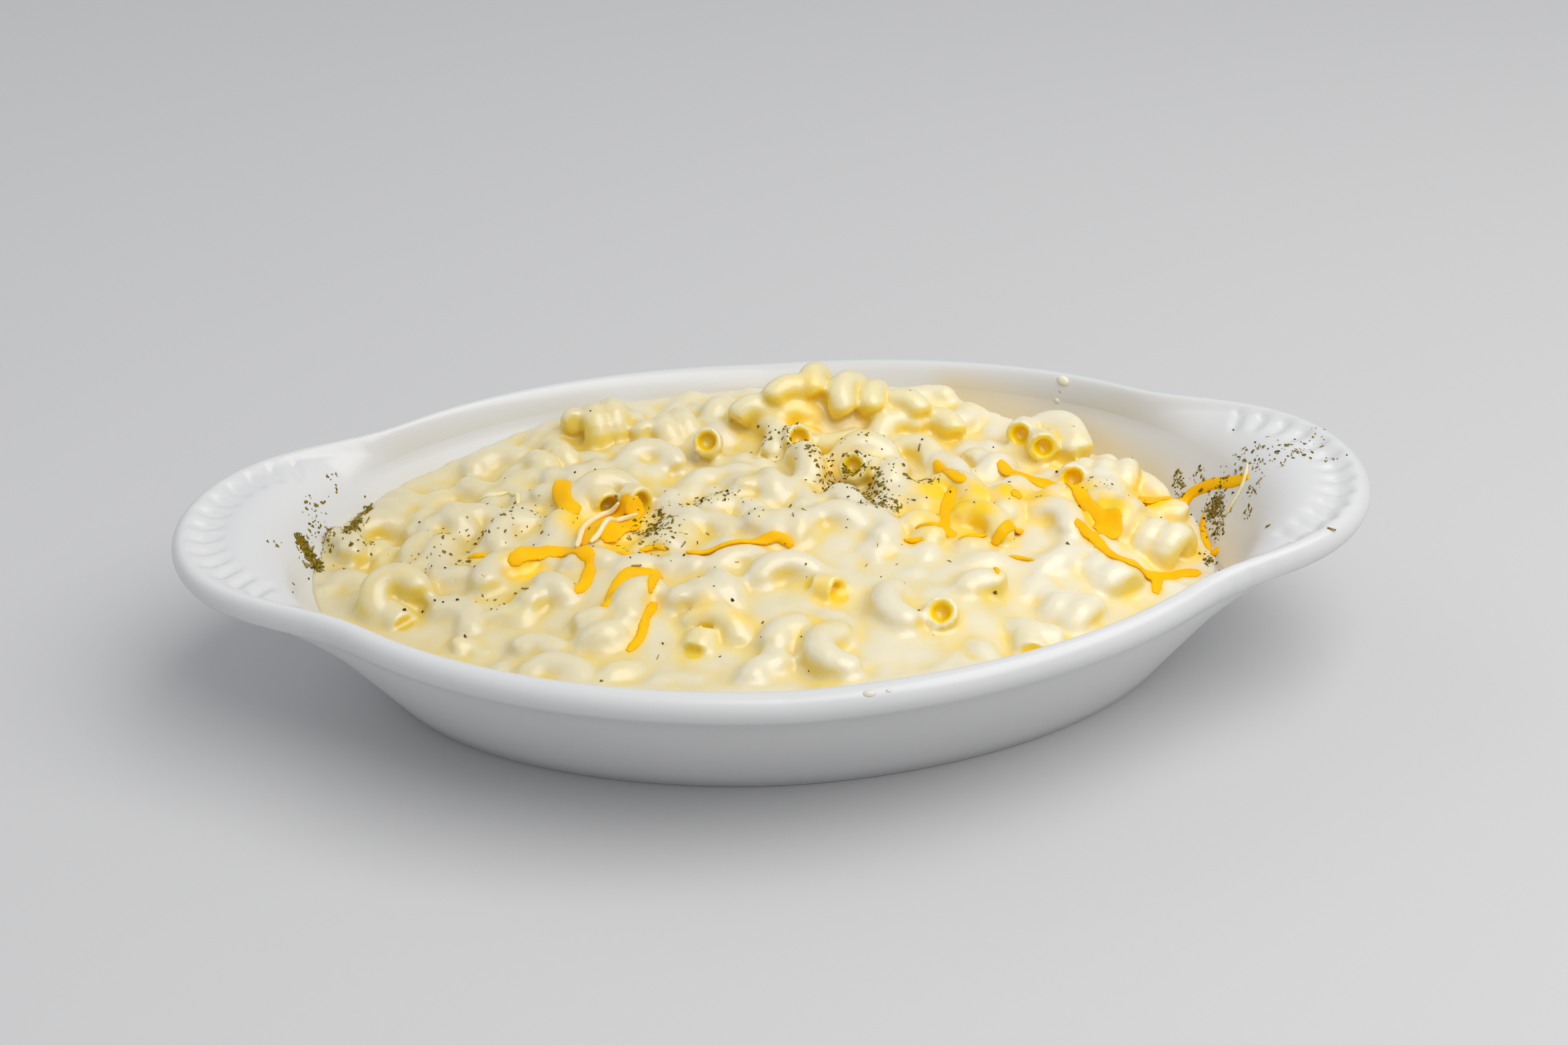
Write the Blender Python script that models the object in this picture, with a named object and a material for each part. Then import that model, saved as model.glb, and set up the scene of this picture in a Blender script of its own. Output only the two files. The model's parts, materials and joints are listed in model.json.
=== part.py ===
"""Macaroni and cheese in an oval stoneware gratin dish with two fluted ears.

Two solids: the dish, and the heap of sauced macaroni that fills it.
Metres, +Z up, +X towards one ear, the origin in the middle of the foot's underside.
"""

import math
import random

import bmesh
import bpy
from mathutils import Vector
from mathutils.geometry import delaunay_2d_cdt

MM = 0.001

# Driving dimensions of the dish.
DISH_LENGTH = 282 * MM
DISH_WIDTH = 153 * MM
RIM_HEIGHT = 43 * MM  # crown of the lip in the middle of the long sides
EAR_RISE = 5.3 * MM  # how much higher the crown is at the tip of an ear
LIP_RADIUS = 3.65 * MM
EAR_RADIUS = 36.8 * MM
BODY_HALF_LENGTH = 119.8 * MM  # the oval that the rim would be without its ears
WALL_ACROSS = 5.8 * MM  # the slanting wall's thickness, measured level
WALL_TOP_DROP = 9.5 * MM  # from the crown down to where the outer wall starts
WALL_TOP_HALF_LENGTH = 116.8 * MM
WALL_TOP_HALF_WIDTH = 70.5 * MM
WELL_TOP_DROP = 4 * MM  # from the crown down to where the well's straight wall starts
FOOT_HALF_LENGTH = 95.1 * MM
FOOT_HALF_WIDTH = 50.6 * MM
FOOT_RING_WIDTH = 6 * MM
FOOT_RECESS = 1.2 * MM
FLOOR_HEIGHT = 6.5 * MM
FLOOR_FILLET = 12 * MM
LIP_OVERHANG = 7.5 * MM  # from the crown down to the lip's underside, on the long sides
EAR_OVERHANG = 4.6 * MM  # the same, on the outer part of an ear
EAR_THINNING_START = 94.8 * MM  # where along the length the lip starts to thin
EAR_THINNING_LENGTH = 40 * MM
UNDERSIDE_EDGE = 0.35 * LIP_RADIUS  # how far outside the crown the lip's underside starts
FLOOR_RING_SHARE = 0.5  # where the floor's inner ring lies between its middle and the fillet

# Driving dimensions of the top of the flange.
BEAD_DROP = 1.4 * MM  # how far the flange lies under the lip's crown
BEAD_SLOPE = 4.5 * MM
ROLLOVER_REACH = 13 * MM  # how wide the curve into the well is on the ears
ROLLOVER_SINE = 0.82  # the sine of the slope where that curve meets the wall

# Driving dimensions of the fluting on each ear.
FLUTES = 13
FLUTE_PITCH = math.radians(11)
FLUTE_INNER_RADIUS = 24 * MM
FLUTE_OUTER_RADIUS = 33.5 * MM
FLUTE_WIDTH = 3.6 * MM
FLUTE_DEPTH = 0.8 * MM
FLUTE_CUTTER_HEIGHT = 2.4 * FLUTE_DEPTH  # how tall half of a flute's cutter is

# Driving dimensions of the food.
FOOD_GAP = 0.5 * MM
FOOD_GRID = 4.7 * MM
SAUCE_EDGE = 38.6 * MM  # where the sauce meets the wall, over most of the dish
RIGHT_END_DROP = 12.5 * MM  # how much lower it lies at the +X end
LEFT_END_DROP = 6 * MM
EDGE_SLOPE_SHARE = 0.5  # how much of the way in the heap takes to even out its edge's heights
WALL_MARGIN_SHARE = 0.12  # how much of the way in the lumps and rises take to reach full height
GRID_MARGIN = 0.6 * FOOD_GRID
LUMPS = 190
LUMP_SEED = 7
LUMP_HEIGHT = 2.8 * MM
LEAST_LUMP_SHARE = 0.5
LUMP_LENGTH = 7 * MM
LUMP_WIDTH = 3.4 * MM

# Sizes worked out from those above.
HALF_LENGTH = DISH_LENGTH / 2
HALF_WIDTH = DISH_WIDTH / 2
EAR_CENTRE = HALF_LENGTH - EAR_RADIUS
WALL_TOP_HEIGHT = RIM_HEIGHT - WALL_TOP_DROP
WELL_TOP_HEIGHT = RIM_HEIGHT - WELL_TOP_DROP

# The heap's broad rises: x, y, half length, half width, height.
RISES = (
    (-8 * MM, -4 * MM, 74 * MM, 44 * MM, 5.0 * MM),
    (12 * MM, 54 * MM, 25 * MM, 9 * MM, 13.0 * MM),
    (72 * MM, 38 * MM, 11 * MM, 9 * MM, 10.5 * MM),
    (86 * MM, 10 * MM, 13 * MM, 22 * MM, 8.0 * MM),
    (-91 * MM, -12 * MM, 11 * MM, 11 * MM, 3.0 * MM),
    (-45 * MM, 52 * MM, 16 * MM, 8 * MM, 3.5 * MM),
)

SEGMENTS_PER_QUARTER = 24
BLEND_POWER = 21
FOOT_POWER = 1.87
EAR_RISE_POWER = 1.15
# Where the rings lie on the well's wall, the flange, the lip's outer side and the outer wall.
FILLET_SHARES = (0.0, 0.15, 0.45, 1.0)
WELL_SHARES = (0.5, 0.8)
FLANGE_SHARES = (1.0, 0.9, 0.79, 0.66, 0.5, 0.32, 0.16)
BEAD_DEGREES = (0, 32, 64, 96, 125)
OUTER_WALL_SHARES = (0.5, 1.0)
FOOD_SIDE_SHARES = (0.0, 0.1, 0.3, 0.65, 1.0)


def smooth_step(value):
    """Goes from 0 to 1 with no kink as value goes from 0 to 1."""
    value = min(max(value, 0.0), 1.0)
    return value * value * (3 - 2 * value)


def oval_radius(angle, half_length, half_width, power=2.0):
    """Distance from the middle to an oval, in the direction of angle."""
    across = abs(math.cos(angle) / half_length) ** power
    along = abs(math.sin(angle) / half_width) ** power
    return (across + along) ** (-1 / power)


def ear_reach(angle):
    """Distance from the middle to the far side of the ear's round end, or 0 where it isn't met."""
    offset = EAR_CENTRE * abs(math.sin(angle))
    if offset >= EAR_RADIUS:
        return 0.0
    return EAR_CENTRE * abs(math.cos(angle)) + math.sqrt(EAR_RADIUS**2 - offset**2)


def rim_radius(angle):
    """The dish's outermost outline: an oval and two round ears, run together."""
    body = oval_radius(angle, BODY_HALF_LENGTH, HALF_WIDTH)
    ear = ear_reach(angle)
    return (body**BLEND_POWER + ear**BLEND_POWER) ** (1 / BLEND_POWER)


def quarter_angles():
    """Directions that cut a quarter of the rim into stretches of equal length."""
    fine = 400
    angles = [math.pi / 2 * i / fine for i in range(fine + 1)]
    points = [Vector((math.cos(a), math.sin(a))) * rim_radius(a) for a in angles]
    lengths = [0.0]
    for before, after in zip(points, points[1:]):
        lengths.append(lengths[-1] + (after - before).length)
    chosen = []
    for i in range(SEGMENTS_PER_QUARTER + 1):
        wanted = lengths[-1] * i / SEGMENTS_PER_QUARTER
        nearest = min(range(fine + 1), key=lambda k: abs(lengths[k] - wanted))
        chosen.append(angles[nearest])
    return chosen


def ring_angles():
    """The directions of every ring's points, the same in all four quarters."""
    quarter = quarter_angles()
    half = quarter + [math.pi - a for a in reversed(quarter[:-1])]
    return half + [math.pi + a for a in half[1:-1]]


def crown_height(x):
    """Height of the lip's crown, which climbs slowly towards the ears."""
    return RIM_HEIGHT + EAR_RISE * (abs(x) / HALF_LENGTH) ** EAR_RISE_POWER


def crown_radius(angle):
    """The outline of the lip's crown."""
    return rim_radius(angle) - LIP_RADIUS


def foot_radius(angle):
    """The outline of the foot."""
    return oval_radius(angle, FOOT_HALF_LENGTH, FOOT_HALF_WIDTH, FOOT_POWER)


def outer_wall_radius(angle, height):
    """The outline of the straight, slanting outer wall at a height."""
    foot = foot_radius(angle)
    top = oval_radius(angle, WALL_TOP_HALF_LENGTH, WALL_TOP_HALF_WIDTH)
    return foot + (top - foot) * height / WALL_TOP_HEIGHT


def inner_wall_radius(angle, height):
    """The outline of the well's wall at a height, with the fillet at its floor."""
    radius = outer_wall_radius(angle, height) - WALL_ACROSS
    below = FLOOR_FILLET - (height - FLOOR_HEIGHT)
    if below > 0:
        radius -= FLOOR_FILLET - math.sqrt(max(FLOOR_FILLET**2 - below**2, 0.0))
    return radius


def well_radius(angle):
    """The outline where the flange's curve ends and the well's wall begins."""
    return inner_wall_radius(angle, WELL_TOP_HEIGHT)


def placed(angle, radius, height):
    """A point from its direction, its distance from the middle and its height."""
    return Vector((radius * math.cos(angle), radius * math.sin(angle), height))


def flange_drop(from_crown, flange, full_drop):
    """How far the flange's top lies under the crown, at from_crown inwards of the crown."""
    bead = BEAD_DROP * smooth_step(from_crown / BEAD_SLOPE)
    bead_at_well = BEAD_DROP * smooth_step(flange / BEAD_SLOPE)
    reach = min(flange, ROLLOVER_REACH)
    turn = ROLLOVER_SINE * max(0.0, (from_crown - (flange - reach)) / reach)
    arc = (1 - math.sqrt(1 - turn**2)) / (1 - math.sqrt(1 - ROLLOVER_SINE**2))
    return bead + (full_drop - bead_at_well) * arc


def flange_point(angle, share):
    """A point on the top of the flange, at share of the way from the crown to the well."""
    crown = crown_radius(angle)
    flange = crown - well_radius(angle)
    radius = crown - share * flange
    height = crown_height(crown * math.cos(angle))
    drop = flange_drop(share * flange, flange, height - WELL_TOP_HEIGHT)
    return placed(angle, radius, height - drop)


def well_heights():
    """The heights of the rings on the well's wall, from its floor up."""
    heights = [FLOOR_HEIGHT + FLOOR_FILLET * share for share in FILLET_SHARES]
    fillet_top = heights[-1]
    for share in WELL_SHARES:
        heights.append(fillet_top + (WELL_TOP_HEIGHT - fillet_top) * share)
    return heights


def bead_point(angle, turn):
    """A point on the lip's rounded outer side, turn radians over from its crown."""
    crown = crown_radius(angle)
    height = crown_height(crown * math.cos(angle))
    rise = LIP_RADIUS * (1 - math.cos(turn))
    return placed(angle, crown + LIP_RADIUS * math.sin(turn), height - rise)


def underside_point(angle, share):
    """A point on the underside of the lip, from its outer edge (0) to the outer wall (1)."""
    crown = crown_radius(angle)
    x = crown * math.cos(angle)
    along_ear = (abs(x) - EAR_THINNING_START) / EAR_THINNING_LENGTH
    thinning = min(max(along_ear, 0.0), 1.0)
    overhang = LIP_OVERHANG + (EAR_OVERHANG - LIP_OVERHANG) * thinning
    edge = crown + UNDERSIDE_EDGE
    edge_height = crown_height(x) - overhang
    radius = edge + (outer_wall_radius(angle, WALL_TOP_HEIGHT) - edge) * share
    return placed(angle, radius, edge_height + (WALL_TOP_HEIGHT - edge_height) * share)


def dish_rings(angles):
    """Every ring of the dish, from its floor up, over the lip and down to the foot."""
    inner_floor = [inner_wall_radius(a, FLOOR_HEIGHT) * FLOOR_RING_SHARE for a in angles]
    rings = [[placed(a, r, FLOOR_HEIGHT) for a, r in zip(angles, inner_floor)]]
    for height in well_heights():
        rings.append([placed(a, inner_wall_radius(a, height), height) for a in angles])
    for share in FLANGE_SHARES:
        rings.append([flange_point(a, share) for a in angles])
    for degrees in BEAD_DEGREES:
        rings.append([bead_point(a, math.radians(degrees)) for a in angles])
    for share in (0.0, 1.0):
        rings.append([underside_point(a, share) for a in angles])
    for share in OUTER_WALL_SHARES:
        height = WALL_TOP_HEIGHT * (1 - share)
        rings.append([placed(a, outer_wall_radius(a, height), height) for a in angles])
    inset = FOOT_RING_WIDTH
    rings.append([placed(a, foot_radius(a) - inset, 0.0) for a in angles])
    recess = inset + FOOT_RECESS
    rings.append([placed(a, foot_radius(a) - recess, FOOT_RECESS) for a in angles])
    return rings


def skin_rings(mesh, rings):
    """Joins each ring to the next one with faces, and returns the rings' vertices."""
    loops = [[mesh.verts.new(point) for point in ring] for ring in rings]
    count = len(loops[0])
    for lower, upper in zip(loops, loops[1:]):
        for i in range(count):
            j = (i + 1) % count
            mesh.faces.new((lower[i], lower[j], upper[j], upper[i]))
    return loops


def close_ring(mesh, loop, height):
    """Fills a ring with triangles that meet in one point in its middle."""
    middle = mesh.verts.new((0, 0, height))
    for i, vertex in enumerate(loop):
        mesh.faces.new((vertex, loop[(i + 1) % len(loop)], middle))


def glazed_white():
    """White glazed stoneware."""
    material = bpy.data.materials.new("white_glaze")
    material.use_nodes = True
    shader = material.node_tree.nodes["Principled BSDF"]
    shader.inputs["Base Color"].default_value = (0.80, 0.80, 0.79, 1)
    shader.inputs["Roughness"].default_value = 0.22
    shader.inputs["Metallic"].default_value = 0.0
    return material


def cheese_sauce():
    """Creamy cheese sauce over macaroni."""
    material = bpy.data.materials.new("cheese_sauce")
    material.use_nodes = True
    shader = material.node_tree.nodes["Principled BSDF"]
    shader.inputs["Base Color"].default_value = (0.86, 0.72, 0.40, 1)
    shader.inputs["Roughness"].default_value = 0.35
    shader.inputs["Metallic"].default_value = 0.0
    return material


def finished_object(name, mesh, material):
    """Turns a bmesh into an object whose faces point outwards."""
    bmesh.ops.recalc_face_normals(mesh, faces=mesh.faces)
    data = bpy.data.meshes.new(name)
    mesh.to_mesh(data)
    mesh.free()
    data.materials.append(material)
    made = bpy.data.objects.new(name, data)
    bpy.context.collection.objects.link(made)
    return made


def ear_top(x, y):
    """Height of the ear's top at a point, before the fluting."""
    angle = math.atan2(y, x)
    crown = crown_radius(angle)
    flange = crown - well_radius(angle)
    share = (crown - math.hypot(x, y)) / flange
    return flange_point(angle, min(max(share, 0.0), 1.0)).z


def add_flute(mesh, side, turn):
    """Adds the long pebble that cuts one flute, at turn radians from the ear's middle line."""
    half_length = (FLUTE_OUTER_RADIUS - FLUTE_INNER_RADIUS) / 2
    middle = FLUTE_INNER_RADIUS + half_length
    x = EAR_CENTRE + middle * math.cos(turn)
    y = middle * math.sin(turn)
    lift = ear_top(x, y) + FLUTE_CUTTER_HEIGHT - FLUTE_DEPTH
    heading = Vector((side * math.cos(turn), math.sin(turn), 0))
    sideways = Vector((-heading.y, heading.x, 0)) * FLUTE_WIDTH / 2
    pebble = bmesh.ops.create_uvsphere(mesh, u_segments=8, v_segments=6, radius=1.0)
    for vertex in pebble["verts"]:
        across, aside, along = vertex.co
        # The sphere's poles lie at the flute's two ends.
        point = Vector((side * x, y, lift + across * FLUTE_CUTTER_HEIGHT))
        vertex.co = point + heading * along * half_length + sideways * aside


def flute_cutter():
    """One long pebble for every flute of both ears, lying half in the ear's top."""
    mesh = bmesh.new()
    for side in (1, -1):
        for i in range(FLUTES):
            add_flute(mesh, side, (i - (FLUTES - 1) / 2) * FLUTE_PITCH)
    cutter = finished_object("flute_cutter", mesh, glazed_white())
    cutter.hide_render = True
    cutter.display_type = "WIRE"
    return cutter


def build_dish():
    """The gratin dish with its well, rolled lip, two ears, fluting and foot ring."""
    mesh = bmesh.new()
    loops = skin_rings(mesh, dish_rings(ring_angles()))
    close_ring(mesh, loops[0], FLOOR_HEIGHT)
    close_ring(mesh, loops[-1], FOOT_RECESS)
    bmesh.ops.triangulate(mesh, faces=mesh.faces)
    dish = finished_object("dish", mesh, glazed_white())
    fluting = dish.modifiers.new("fluting", "BOOLEAN")
    fluting.operation = "DIFFERENCE"
    fluting.solver = "EXACT"
    fluting.object = flute_cutter()
    dish.data.shade_smooth()
    return dish


def food_edge_height(angle):
    """Where the sauce meets the wall: a little lower at the -X end and far lower at the +X end."""
    to_right = max(0.0, math.cos(angle) - 0.5) / 0.5
    to_left = max(0.0, -math.cos(angle) - 0.6) / 0.4
    return SAUCE_EDGE - RIGHT_END_DROP * to_right**1.5 - LEFT_END_DROP * to_left


def lump_list():
    """Seeded places, headings and heights of the lumps that the macaroni make."""
    draw = random.Random(LUMP_SEED)
    lumps = []
    for _ in range(LUMPS):
        x = draw.uniform(-BODY_HALF_LENGTH, BODY_HALF_LENGTH)
        y = draw.uniform(-HALF_WIDTH, HALF_WIDTH)
        heading = draw.uniform(0, math.pi)
        lumps.append((x, y, heading, LUMP_HEIGHT * draw.uniform(LEAST_LUMP_SHARE, 1.0)))
    return lumps


def lump_height(x, y, lumps):
    """Height that the highest lump over a point adds to the heap."""
    highest = 0.0
    for lump_x, lump_y, heading, height in lumps:
        dx, dy = x - lump_x, y - lump_y
        if abs(dx) + abs(dy) > 4 * LUMP_LENGTH:
            continue
        along = dx * math.cos(heading) + dy * math.sin(heading)
        aside = dy * math.cos(heading) - dx * math.sin(heading)
        spread = (along / LUMP_LENGTH) ** 2 + (aside / LUMP_WIDTH) ** 2
        highest = max(highest, height * math.exp(-spread))
    return highest


def food_height(x, y, lumps):
    """Height of the heap's top at a point."""
    angle = math.atan2(y, x)
    edge_height = food_edge_height(angle)
    share = math.hypot(x, y) / inner_wall_radius(angle, edge_height)
    inwards = smooth_step((1 - share) / EDGE_SLOPE_SHARE)
    height = SAUCE_EDGE + (edge_height - SAUCE_EDGE) * (1 - inwards)
    away_from_wall = smooth_step((1 - share) / WALL_MARGIN_SHARE)
    rise = 0.0
    for rise_x, rise_y, half_length, half_width, top in RISES:
        spread = ((x - rise_x) / half_length) ** 2 + ((y - rise_y) / half_width) ** 2
        rise += top * math.exp(-spread)
    return height + away_from_wall * (rise + lump_height(x, y, lumps))


def food_side_radius(angle, height):
    """How far out the food reaches at a height: up to the dish's faceted wall, less the gap."""
    heights = well_heights() + [WELL_TOP_HEIGHT]
    for lower, upper in zip(heights, heights[1:]):
        if height <= upper:
            share = (height - lower) / (upper - lower)
            radius = inner_wall_radius(angle, lower)
            radius += (inner_wall_radius(angle, upper) - radius) * share
            return radius - FOOD_GAP
    return inner_wall_radius(angle, WELL_TOP_HEIGHT) - FOOD_GAP


def food_rings(angles):
    """The food's side, from its underside up to where its top begins."""
    bottom = FLOOR_HEIGHT + FOOD_GAP
    rings = []
    for share in FOOD_SIDE_SHARES:
        ring = []
        for angle in angles:
            height = bottom + (food_edge_height(angle) - bottom) * share
            ring.append(placed(angle, food_side_radius(angle, height), height))
        rings.append(ring)
    return rings


def grid_points():
    """Points of a triangular grid that lie well inside the food's edge."""
    points = []
    row_pitch = FOOD_GRID * math.sqrt(3) / 2
    rows = int(HALF_WIDTH / row_pitch)
    columns = int(HALF_LENGTH / FOOD_GRID)
    for row in range(-rows, rows + 1):
        for column in range(-columns, columns + 1):
            x = (column + 0.5 * (row % 2)) * FOOD_GRID
            y = row * row_pitch
            angle = math.atan2(y, x)
            edge_radius = food_side_radius(angle, food_edge_height(angle))
            if math.hypot(x, y) < edge_radius - GRID_MARGIN:
                points.append(Vector((x, y)))
    return points


def food_top(edge):
    """Points over the food's top, its edge first, and the triangles between them."""
    outline = [Vector((p.x, p.y)) for p in edge]
    count = len(outline)
    border = [(i, (i + 1) % count) for i in range(count)]
    # Output type 1 keeps only the triangles inside the border.
    result = delaunay_2d_cdt(outline + grid_points(), border, [], 1, 1e-7)
    return result[0], result[2]


def build_macaroni():
    """The heap of sauced macaroni, one solid that fills the well up to its uneven top."""
    mesh = bmesh.new()
    lumps = lump_list()
    rings = food_rings(ring_angles())
    loops = skin_rings(mesh, rings)
    close_ring(mesh, loops[0], FLOOR_HEIGHT + FOOD_GAP)
    edge = loops[-1]
    points, triangles = food_top(rings[-1])
    vertices = list(edge)
    for x, y in points[len(edge):]:
        vertices.append(mesh.verts.new((x, y, food_height(x, y, lumps))))
    for triangle in triangles:
        mesh.faces.new([vertices[i] for i in triangle])
    heap = finished_object("macaroni", mesh, cheese_sauce())
    heap.data.shade_smooth()
    return heap


def main():
    """Clears the scene and builds both solids."""
    for old in list(bpy.data.objects):
        bpy.data.objects.remove(old)
    build_dish()
    build_macaroni()


main()
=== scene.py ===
"""The look of macaroni and cheese in an oval gratin dish with two fluted ears."""

import json
import logging
import math
import random
from dataclasses import dataclass
from enum import Enum

import bmesh
import bpy
import numpy as np
from mathutils import Euler, Matrix, Vector, noise
from mathutils.bvhtree import BVHTree
from mathutils.kdtree import KDTree

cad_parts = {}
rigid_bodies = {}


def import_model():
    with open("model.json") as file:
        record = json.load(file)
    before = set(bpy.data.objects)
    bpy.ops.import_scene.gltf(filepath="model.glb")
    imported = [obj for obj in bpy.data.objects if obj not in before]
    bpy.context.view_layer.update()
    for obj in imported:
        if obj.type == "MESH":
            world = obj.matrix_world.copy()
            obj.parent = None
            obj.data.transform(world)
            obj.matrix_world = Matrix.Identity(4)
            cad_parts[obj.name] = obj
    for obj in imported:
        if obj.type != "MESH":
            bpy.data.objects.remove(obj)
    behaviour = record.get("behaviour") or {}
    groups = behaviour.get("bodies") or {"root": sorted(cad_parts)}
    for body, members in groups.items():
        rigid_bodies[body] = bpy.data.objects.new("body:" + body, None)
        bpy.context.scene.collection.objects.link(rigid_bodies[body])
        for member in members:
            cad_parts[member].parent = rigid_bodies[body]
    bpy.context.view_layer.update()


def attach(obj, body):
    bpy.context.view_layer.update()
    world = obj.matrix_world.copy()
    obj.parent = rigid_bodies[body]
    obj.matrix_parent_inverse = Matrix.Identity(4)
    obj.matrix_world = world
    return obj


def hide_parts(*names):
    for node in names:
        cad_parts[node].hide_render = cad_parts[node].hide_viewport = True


MM = 0.001
BODY = "root"
LOG = logging.getLogger("gratin")
RAY_START = 100 * MM
# A whole turn in radians, near enough for a chance direction.
FULL_TURN = 6.3

Array = np.ndarray
Piece = bpy.types.Object
Tree = bpy.types.NodeTree
Socket = bpy.types.NodeSocket
Color = tuple[float, float, float, float]
Place = tuple[float, float, float]
Span = tuple[float, float]


def smooth_step(value: Array) -> Array:
    """Goes from 0 to 1 with no kink as value goes from 0 to 1."""
    value = np.clip(value, 0.0, 1.0)
    return value * value * (3 - 2 * value)


@dataclass(frozen=True)
class Fade:
    """A value that is 1 up to a start and goes smoothly to 0 over a length."""

    start: float
    length: float

    def at(self, values: Array) -> Array:
        """The faded value at each of these values."""
        return 1 - smooth_step((values - self.start) / self.length)


class Ends(Enum):
    """How the first and the last ring of a stack of rings are treated."""

    CAPPED = "each is filled with one face"
    JOINED = "they are bridged to each other"


class Pasta(Enum):
    """The kinds of macaroni in the dish."""

    ELBOW = "elbow"
    SHORT_ELBOW = "short elbow"
    HOOK = "hook"
    CORKSCREW = "corkscrew"
    SHORT_CORKSCREW = "short corkscrew"
    BARREL = "tightly wound corkscrew"
    STUB = "straight end of a noodle"


class Workshop:
    """The modelling operators, each called on known objects only."""

    @staticmethod
    def only(*pieces: Piece) -> None:
        """Selects these objects and nothing else; the first one becomes the active one.

        Args:
            pieces: the objects to select.
        """
        if bpy.context.mode != "OBJECT":
            bpy.ops.object.mode_set(mode="OBJECT")
        bpy.ops.object.select_all(action="DESELECT")
        for piece in pieces:
            piece.select_set(True)
        bpy.context.view_layer.objects.active = pieces[0]

    @classmethod
    def ring_stack(cls, name: str, rings: Array, ends: Ends) -> Piece:
        """Extrudes a circle ring by ring and puts every ring where it belongs.

        Args:
            name: the new object's name.
            rings: places of all points, as rings x points x 3; the points are a multiple of 4.
            ends: what is done with the first and the last ring.

        Returns:
            The closed mesh object, with its faces outwards.
        """
        levels, count = rings.shape[:2]
        bpy.ops.object.select_all(action="DESELECT")
        bpy.ops.mesh.primitive_circle_add(vertices=count, radius=1.0, fill_type="NOTHING")
        piece = bpy.context.active_object
        piece.name = piece.data.name = name
        bpy.ops.object.mode_set(mode="EDIT")
        bpy.ops.mesh.select_all(action="SELECT")
        for _ in range(levels - 1):
            bpy.ops.mesh.extrude_region_move(TRANSFORM_OT_translate={"value": (0, 0, 1)})
        cls._close_stack(piece, levels, ends)
        bpy.ops.object.mode_set(mode="OBJECT")
        places = cls.points(piece)
        level = np.rint(places[:, 2]).astype(int)
        turn = np.arctan2(places[:, 1], places[:, 0]) / (2 * math.pi) * count
        place = np.rint(turn).astype(int) % count
        cls.set_points(piece, rings[level, place])
        cls.face_outwards(piece)
        return piece

    @staticmethod
    def _close_stack(piece: Piece, levels: int, ends: Ends) -> None:
        """Closes the stack's first and last ring while it is in edit mode.

        Args:
            piece: the stack, whose rings still lie one unit apart.
            levels: how many rings it has.
            ends: how they are closed.
        """
        groups = ((0, levels - 1),) if ends is Ends.JOINED else ((0,), (levels - 1,))
        for group in groups:
            bpy.ops.mesh.select_all(action="DESELECT")
            mesh = bmesh.from_edit_mesh(piece.data)
            for edge in mesh.edges:
                heights = {round(vertex.co.z) for vertex in edge.verts}
                if len(heights) == 1 and heights.pop() in group:
                    edge.select_set(True)
            bmesh.update_edit_mesh(piece.data)
            if ends is Ends.JOINED:
                bpy.ops.mesh.bridge_edge_loops()
            else:
                bpy.ops.mesh.edge_face_add()

    @staticmethod
    def _vectors(piece: Piece, name: str) -> Array:
        """One stored vector per point of the object, as rows of three."""
        flat = np.empty(len(piece.data.vertices) * 3)
        piece.data.vertices.foreach_get(name, flat)
        return flat.reshape(-1, 3)

    @classmethod
    def points(cls, piece: Piece) -> Array:
        """The places of the object's points."""
        return cls._vectors(piece, "co")

    @classmethod
    def normals(cls, piece: Piece) -> Array:
        """The directions that the object's points face."""
        return cls._vectors(piece, "normal")

    @staticmethod
    def set_points(piece: Piece, places: Array) -> None:
        """Moves the object's points to new places."""
        piece.data.vertices.foreach_set("co", np.ascontiguousarray(places, float).ravel())
        piece.data.update()

    @classmethod
    def face_outwards(cls, piece: Piece) -> None:
        """Turns every face of the object outwards."""
        cls.only(piece)
        bpy.ops.object.mode_set(mode="EDIT")
        bpy.ops.mesh.select_all(action="SELECT")
        bpy.ops.mesh.normals_make_consistent(inside=False)
        bpy.ops.object.mode_set(mode="OBJECT")

    @staticmethod
    def in_scene(name: str, data: object) -> Piece:
        """A new object with this data, linked to the scene."""
        made = bpy.data.objects.new(name, data)
        bpy.context.scene.collection.objects.link(made)
        return made

    @classmethod
    def joined(cls, name: str, pieces: list[Piece]) -> Piece:
        """Joins objects into one.

        Args:
            name: the joined object's name.
            pieces: the objects to join, at least one.

        Returns:
            The joined object.
        """
        cls.only(*pieces)
        if len(pieces) > 1:
            bpy.ops.object.join()
        piece = bpy.context.active_object
        piece.name = piece.data.name = name
        return piece

    @classmethod
    def modified(cls, piece: Piece, kind: str, **settings: object) -> None:
        """Adds one modifier to the object and applies it at once.

        Args:
            piece: the object.
            kind: the modifier's type.
            settings: the modifier's settings by name.
        """
        cls.only(piece)
        modifier = piece.modifiers.new(kind.lower(), kind)
        for key, value in settings.items():
            setattr(modifier, key, value)
        bpy.ops.object.modifier_apply(modifier=modifier.name)

    @classmethod
    def remeshed(cls, piece: Piece, voxel: float) -> None:
        """Skins everything in the object with one even, closed surface."""
        cls.modified(piece, "REMESH", mode="VOXEL", voxel_size=voxel, adaptivity=0.0)

    @classmethod
    def swollen(cls, piece: Piece, amount: float) -> None:
        """Moves the object's surface outwards, or inwards where amount is below 0."""
        cls.modified(piece, "DISPLACE", strength=amount, mid_level=0.0)

    @classmethod
    def smoothed(cls, piece: Piece, passes: int) -> None:
        """Evens out the object's surface over its neighbouring points."""
        cls.modified(piece, "SMOOTH", factor=0.5, iterations=passes)

    @staticmethod
    def with_values(piece: Piece, name: str, values: Array) -> None:
        """Stores one value per point under a name that the finish can read."""
        layer = piece.data.attributes.new(name, "FLOAT", "POINT")
        layer.data.foreach_set("value", np.ascontiguousarray(values, np.float32))

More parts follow.
